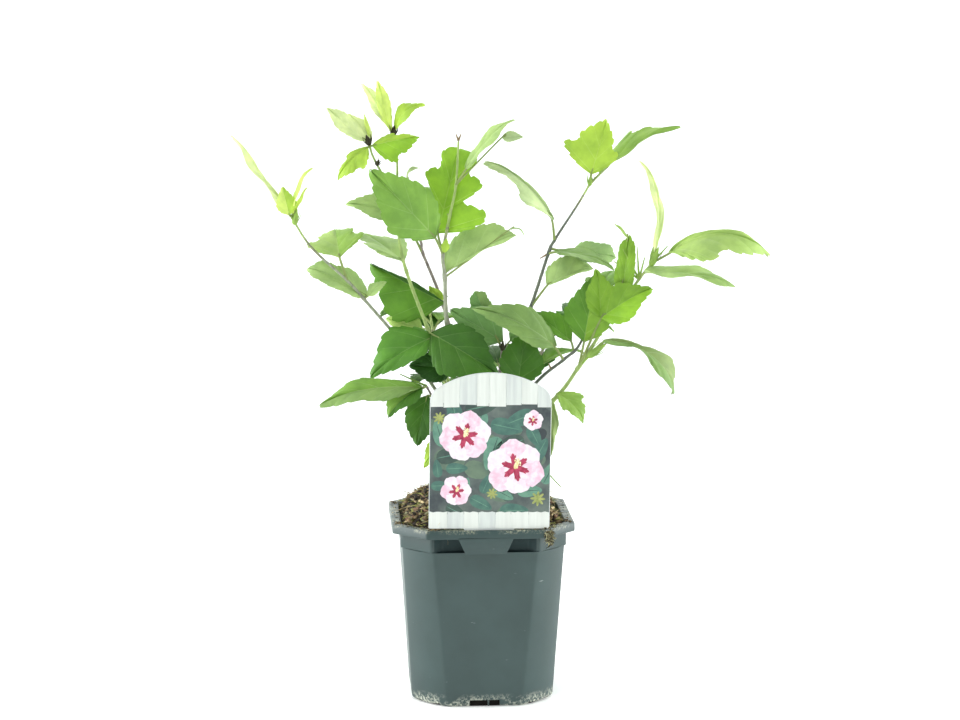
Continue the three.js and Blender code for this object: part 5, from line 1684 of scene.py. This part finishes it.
def blade_points(part, base, chance):
    """Points of one blade in millimetres, upper side first"""
    columns = blade_columns[part["edge"]]
    chord = np.array(part["blade"], float)
    length = np.linalg.norm(chord)
    along = chord / length
    up = np.array(part["face"], float)
    up = unit(up - along * up.dot(along))
    across = np.cross(along, up)
    fold = math.radians(FOLD_DEGREES)
    foot, edge_u, edge_v, puff, _ = (np.array(values, float) for values in zip(*columns))
    in_vein = np.array([column[4] or (k > 0 and columns[k - 1][4]) for k, column in enumerate(columns)])
    sides = {}
    for side in (1, -1):
        knots = np.linspace(0, 1, 6)
        reach = 1 + np.interp(edge_u, knots, [chance.uniform(-EDGE_DRIFT, EDGE_DRIFT) for _ in knots])
        extra_wave = chance.uniform(0.0, EXTRA_WAVE)
        phase = chance.uniform(0, 2 * math.pi)
        u = foot[:, None] + (edge_u - foot)[:, None] * ROWS[None, :]
        rib = RIB_HALF * (1 - 0.8 * foot)
        wide = part["right"] if side == 1 else part["left"]
        v = rib[:, None] * (1 - ROWS) + (edge_v * reach * wide)[:, None] * ROWS
        lift = VEIN_PUFF * puff[:, None] * np.sin(math.pi * np.minimum(ROWS * 1.1, 1))[None, :]
        lift = lift + HALF_PUFF * np.sin(ROWS * math.pi)[None, :]
        wave = (LEAST_WAVE + extra_wave) * ROWS ** 2 * np.sin(phase + 12 * edge_u)[:, None]
        sides[side] = (u, v, lift + wave)
    middle = (foot[:, None], np.zeros((len(foot), 1)), np.zeros((len(foot), 1)))
    grid_u = np.hstack([sides[-1][0][:, ::-1], middle[0], sides[1][0]])
    grid_v = np.hstack([-sides[-1][1][:, ::-1], middle[1], sides[1][1]])
    grid_h = np.hstack([sides[-1][2][:, ::-1], middle[2], sides[1][2]])
    slope = part["arch"] * 4 * (1 - 2 * grid_u)
    normal = np.cross(across, chord[None, None, :] + up[None, None, :] * slope[..., None])
    normal /= np.linalg.norm(normal, axis=2, keepdims=True)
    droop = TIP_DROOP * length * np.maximum(grid_u - DROOP_START, 0) ** 2 / 0.12
    folded = np.sqrt(grid_v ** 2 + FOLD_ROUND ** 2) - FOLD_ROUND
    height = folded * length * math.sin(fold) + grid_h * length - droop
    bow = 4 * grid_u * (1 - grid_u)
    surface = (base + chord * grid_u[..., None] + up * (part["arch"] * bow)[..., None]
               + across * (grid_v * length * math.cos(fold))[..., None]
               + normal * height[..., None])
    groove = np.zeros_like(grid_u)
    groove[:, len(ROWS)] = 1
    groove[in_vein, :] = np.maximum(groove[in_vein, :], 0.4)
    thick = BLADE_HALF_MM * min(1, 0.5 + length / 80)
    rib_depth = groove * length * VEIN_DEPTH * (1 - 0.75 * grid_u)
    top = surface + normal * (thick - 0.15 * rib_depth)[..., None]
    under = surface - normal * (thick + rib_depth)[..., None]
    return np.concatenate([top.reshape(-1, 3), under.reshape(-1, 3)])


print("a blade's thickness in millimetres:", 2 * BLADE_HALF_MM)

# %% [markdown]
# Twenty tints go over the leaves, one for each leaf or for each of its halves. They share one recipe:
# soft patches, a fine net of small veins as a bump, and a satin upper side. Undersides are duller and
# paler, and the large veins are paler than the green beside them.

# %% Leaf finishes
# The tints paint light and shade as well as each leaf's own green: leaves in shade take the darkest tints,
# lit ones brighter tints
TINTS = {
    "pale": (218, 232, 168), "lime": (208, 230, 120), "fresh": (164, 198, 72),
    "fresh_light": (162, 192, 106), "green": (120, 161, 50), "leaf_light": (138, 174, 80),
    "leaf": (120, 162, 70), "leaf_mid": (90, 138, 42), "leaf_soft": (120, 152, 86), "bright": (138, 185, 50),
    "leaf_deep": (84, 136, 46), "deep_mid": (66, 112, 32), "deep": (52, 96, 24), "dark": (42, 84, 26),
    "grey": (108, 150, 84), "sage": (165, 194, 124), "sage_mid": (126, 158, 90),
    "sage_soft": (152, 184, 122), "sage_pale": (182, 202, 150), "olive": (136, 158, 98),
}
leaf_finishes = []
finish_number = {}


def add_leaf_finish(name, colour, roughness, net):
    """A leaf finish with a fine net of veins as a bump"""
    red, green, blue = colour
    light = tone(min(red * 1.05, 255), min(green * 1.04, 255), blue)
    dark = tone(red * 0.9, green * 0.92, blue * 0.88)
    material, tree, shader, _ = make_finish(name, light, dark, roughness, 55.0, bump=0, specular=0.25)
    place = add_node(tree, "ShaderNodeTexCoord").outputs["Object"]
    cells = add_node(tree, "ShaderNodeTexVoronoi", {"feature": "DISTANCE_TO_EDGE", "Scale": 420.0},
                     {"Vector": place})
    depth = span(tree, cells.outputs["Distance"], 0.0, 0.25)
    relief = add_node(tree, "ShaderNodeBump", {"Strength": net, "Distance": 0.25 * MM}, {"Height": depth})
    tree.links.new(relief.outputs["Normal"], shader.inputs["Normal"])
    finish_number[name] = len(leaf_finishes)
    leaf_finishes.append(material)


for name, (red, green, blue) in TINTS.items():
    add_leaf_finish(name, (red, green, blue), 0.5, 0.25)
    grey = (red + green + blue) / 3
    under = [between(value, grey, 0.25) * 0.96 + 16 for value in (red, green, blue)]
    add_leaf_finish(name + "_under", under, 0.7, 0.35)
    add_leaf_finish(name + "_vein", [value * 0.86 + 34 for value in (red, green, blue)], 0.55, 0.1)
print("leaf finishes:", len(leaf_finishes))

# %% Leaves of a limb
STALK_RADII = (1.1, 0.75)
STALK_END = 0.12


def add_blade(pile, part, base, chance):
    """One blade with the tints of its halves"""
    points = blade_points(part, base, chance)
    faces, kinds = blade_patterns[part["edge"]]
    finishes = []
    for layer, side, vein in kinds:
        tint = part["tint"] if side == 1 else part["other"]
        ending = "_vein" if vein and layer == 0 else "_under" if layer else ""
        finishes.append(finish_number[tint + ending])
    pile.add([tuple(point * MM) for point in points], faces, finishes)


def add_stalk(pile, root, base, join, radii, finish, sides=7, steps=9):
    """A round leaf stalk that bends at the blade's base"""
    bend = [tuple(root), tuple(base), tuple(join)]
    centres = [point_on_path(bend, 2 * k / steps) for k in range(steps + 1)]
    thick = [between(*radii, k / steps) * (1.25 if k == 0 else 1) for k in range(steps + 1)]
    points, faces = tube(centres, thick, sides)
    pile.add(in_metres(points), faces, finish)


def add_leaf(pile, part, path, chance):
    """A leaf with its stalk, which runs on under the blade's first part"""
    root = point_on_path(path, part["at"])
    base = root + np.array(part["stalk"], float)
    chord = np.array(part["blade"], float)
    along = unit(chord)
    up = np.array(part["face"], float)
    up = unit(up - along * up.dot(along))
    rise = part["arch"] * 4 * STALK_END * (1 - STALK_END)
    join = base + chord * STALK_END + up * (rise - 0.5)
    slim = min(1, 0.5 + np.linalg.norm(chord) / 90)
    add_stalk(pile, root, base - up * 0.4, join, [radius * slim for radius in STALK_RADII],
              finish_number["stalk"])
    add_blade(pile, part, base, chance)


add_leaf_finish("stalk", (134, 150, 92), 0.6, 0.1)
add_leaf_finish("bract", (132, 164, 76), 0.6, 0.1)
add_leaf_finish("bud_green", (140, 172, 84), 0.6, 0.15)
add_leaf_finish("bud_dark", (52, 50, 34), 0.7, 0.2)
add_leaf_finish("dry_wood", (140, 118, 92), 0.85, 0.3)
leaf_piles = {}
for number, (name, shape) in enumerate(LIMBS.items()):
    leaf_chance = random.Random(100 + number)
    leaf_piles[name] = Pile()
    for part in shape["leaves"]:
        add_leaf(leaf_piles[name], part, shape["path"], leaf_chance)
print("faces in the fullest limb's leaves:", max(len(pile.faces) for pile in leaf_piles.values()))

# %% [markdown]
# Buds and bracts sit at the ends of the limbs. A bud is a pointed drop with shallow ribs, wrapped by
# slim bracts. Small unopened buds on the left are nearly black, and the flower buds on the right are
# green with a ring of long thin bracts.

# %% Buds and bracts
BUD_STALK_RADII = (0.9, 0.8)
SCALE_RADII = (0.5, 0.15)
SCALE_COUNT = 6
SPIKE_RADII = (1.0, 0.4)


def add_bud(pile, part, path, chance):
    """A ribbed drop with a few scales round its foot"""
    root = point_on_path(path, part["at"])
    base = root + np.array(part["stalk"] or (0, 0, 0), float)
    body = np.array(part["body"], float)
    finish = finish_number["bud_dark" if part["dark"] else "bud_green"]
    scale_finish = finish_number["bud_dark" if part["dark"] else "bract"]
    steps = 9
    centres = [base + body * between(-0.15, 1, k / steps) for k in range(steps + 1)]
    radii = [part["radius"] * (0.3 + 0.7 * math.sin(math.pi * min(1, 0.12 + (k / steps) ** 0.8)))
             for k in range(steps + 1)]
    radii[-1] = 0.35
    points, faces = tube(centres, radii, 12, 0.12)
    pile.add(in_metres(points), faces, finish)
    if part["stalk"]:
        add_stalk(pile, root, between(root, base, 0.6), base, BUD_STALK_RADII, finish_number["bract"])
    for k in range(SCALE_COUNT):
        turn = 2 * math.pi * k / SCALE_COUNT + chance.uniform(-0.3, 0.3)
        along = unit(body)
        across = unit(np.cross(along, (0.3, 1, 0.1)))
        out = across * math.cos(turn) + np.cross(along, across) * math.sin(turn)
        start = base + out * part["radius"] * 0.5
        middle = base + body * 0.35 + out * part["radius"] * 1.25
        end = base + body * chance.uniform(0.7, 1.0) + out * part["radius"] * 1.5
        add_stalk(pile, start, middle, end, SCALE_RADII, scale_finish, 5, 6)


def add_spike(pile, part, path):
    """A thin stalk or bract that leaves the limb"""
    root = point_on_path(path, part["at"])
    body = np.array(part["body"], float)
    middle = root + body * 0.5 + np.array((0, 0, part["arch"]), float)
    finish = finish_number["dry_wood" if part["dry"] else "bract"]
    add_stalk(pile, root, middle, root + body, SPIKE_RADII, finish)


bud_chance = random.Random(9)
for name, shape in LIMBS.items():
    for part in shape["buds"]:
        add_bud(leaf_piles[name], part, shape["path"], bud_chance)
    for part in shape["spikes"]:
        add_spike(leaf_piles[name], part, shape["path"])
print("buds:", sum(len(shape["buds"]) for shape in LIMBS.values()))

# %% Foliage pieces
leaf_faces = 0
for name, pile in leaf_piles.items():
    foliage = pile.make("leaves_" + name, leaf_finishes, 50)
    leaf_faces += len(foliage.data.polygons)
    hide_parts("foliage_" + name)
print("faces in all foliage:", leaf_faces)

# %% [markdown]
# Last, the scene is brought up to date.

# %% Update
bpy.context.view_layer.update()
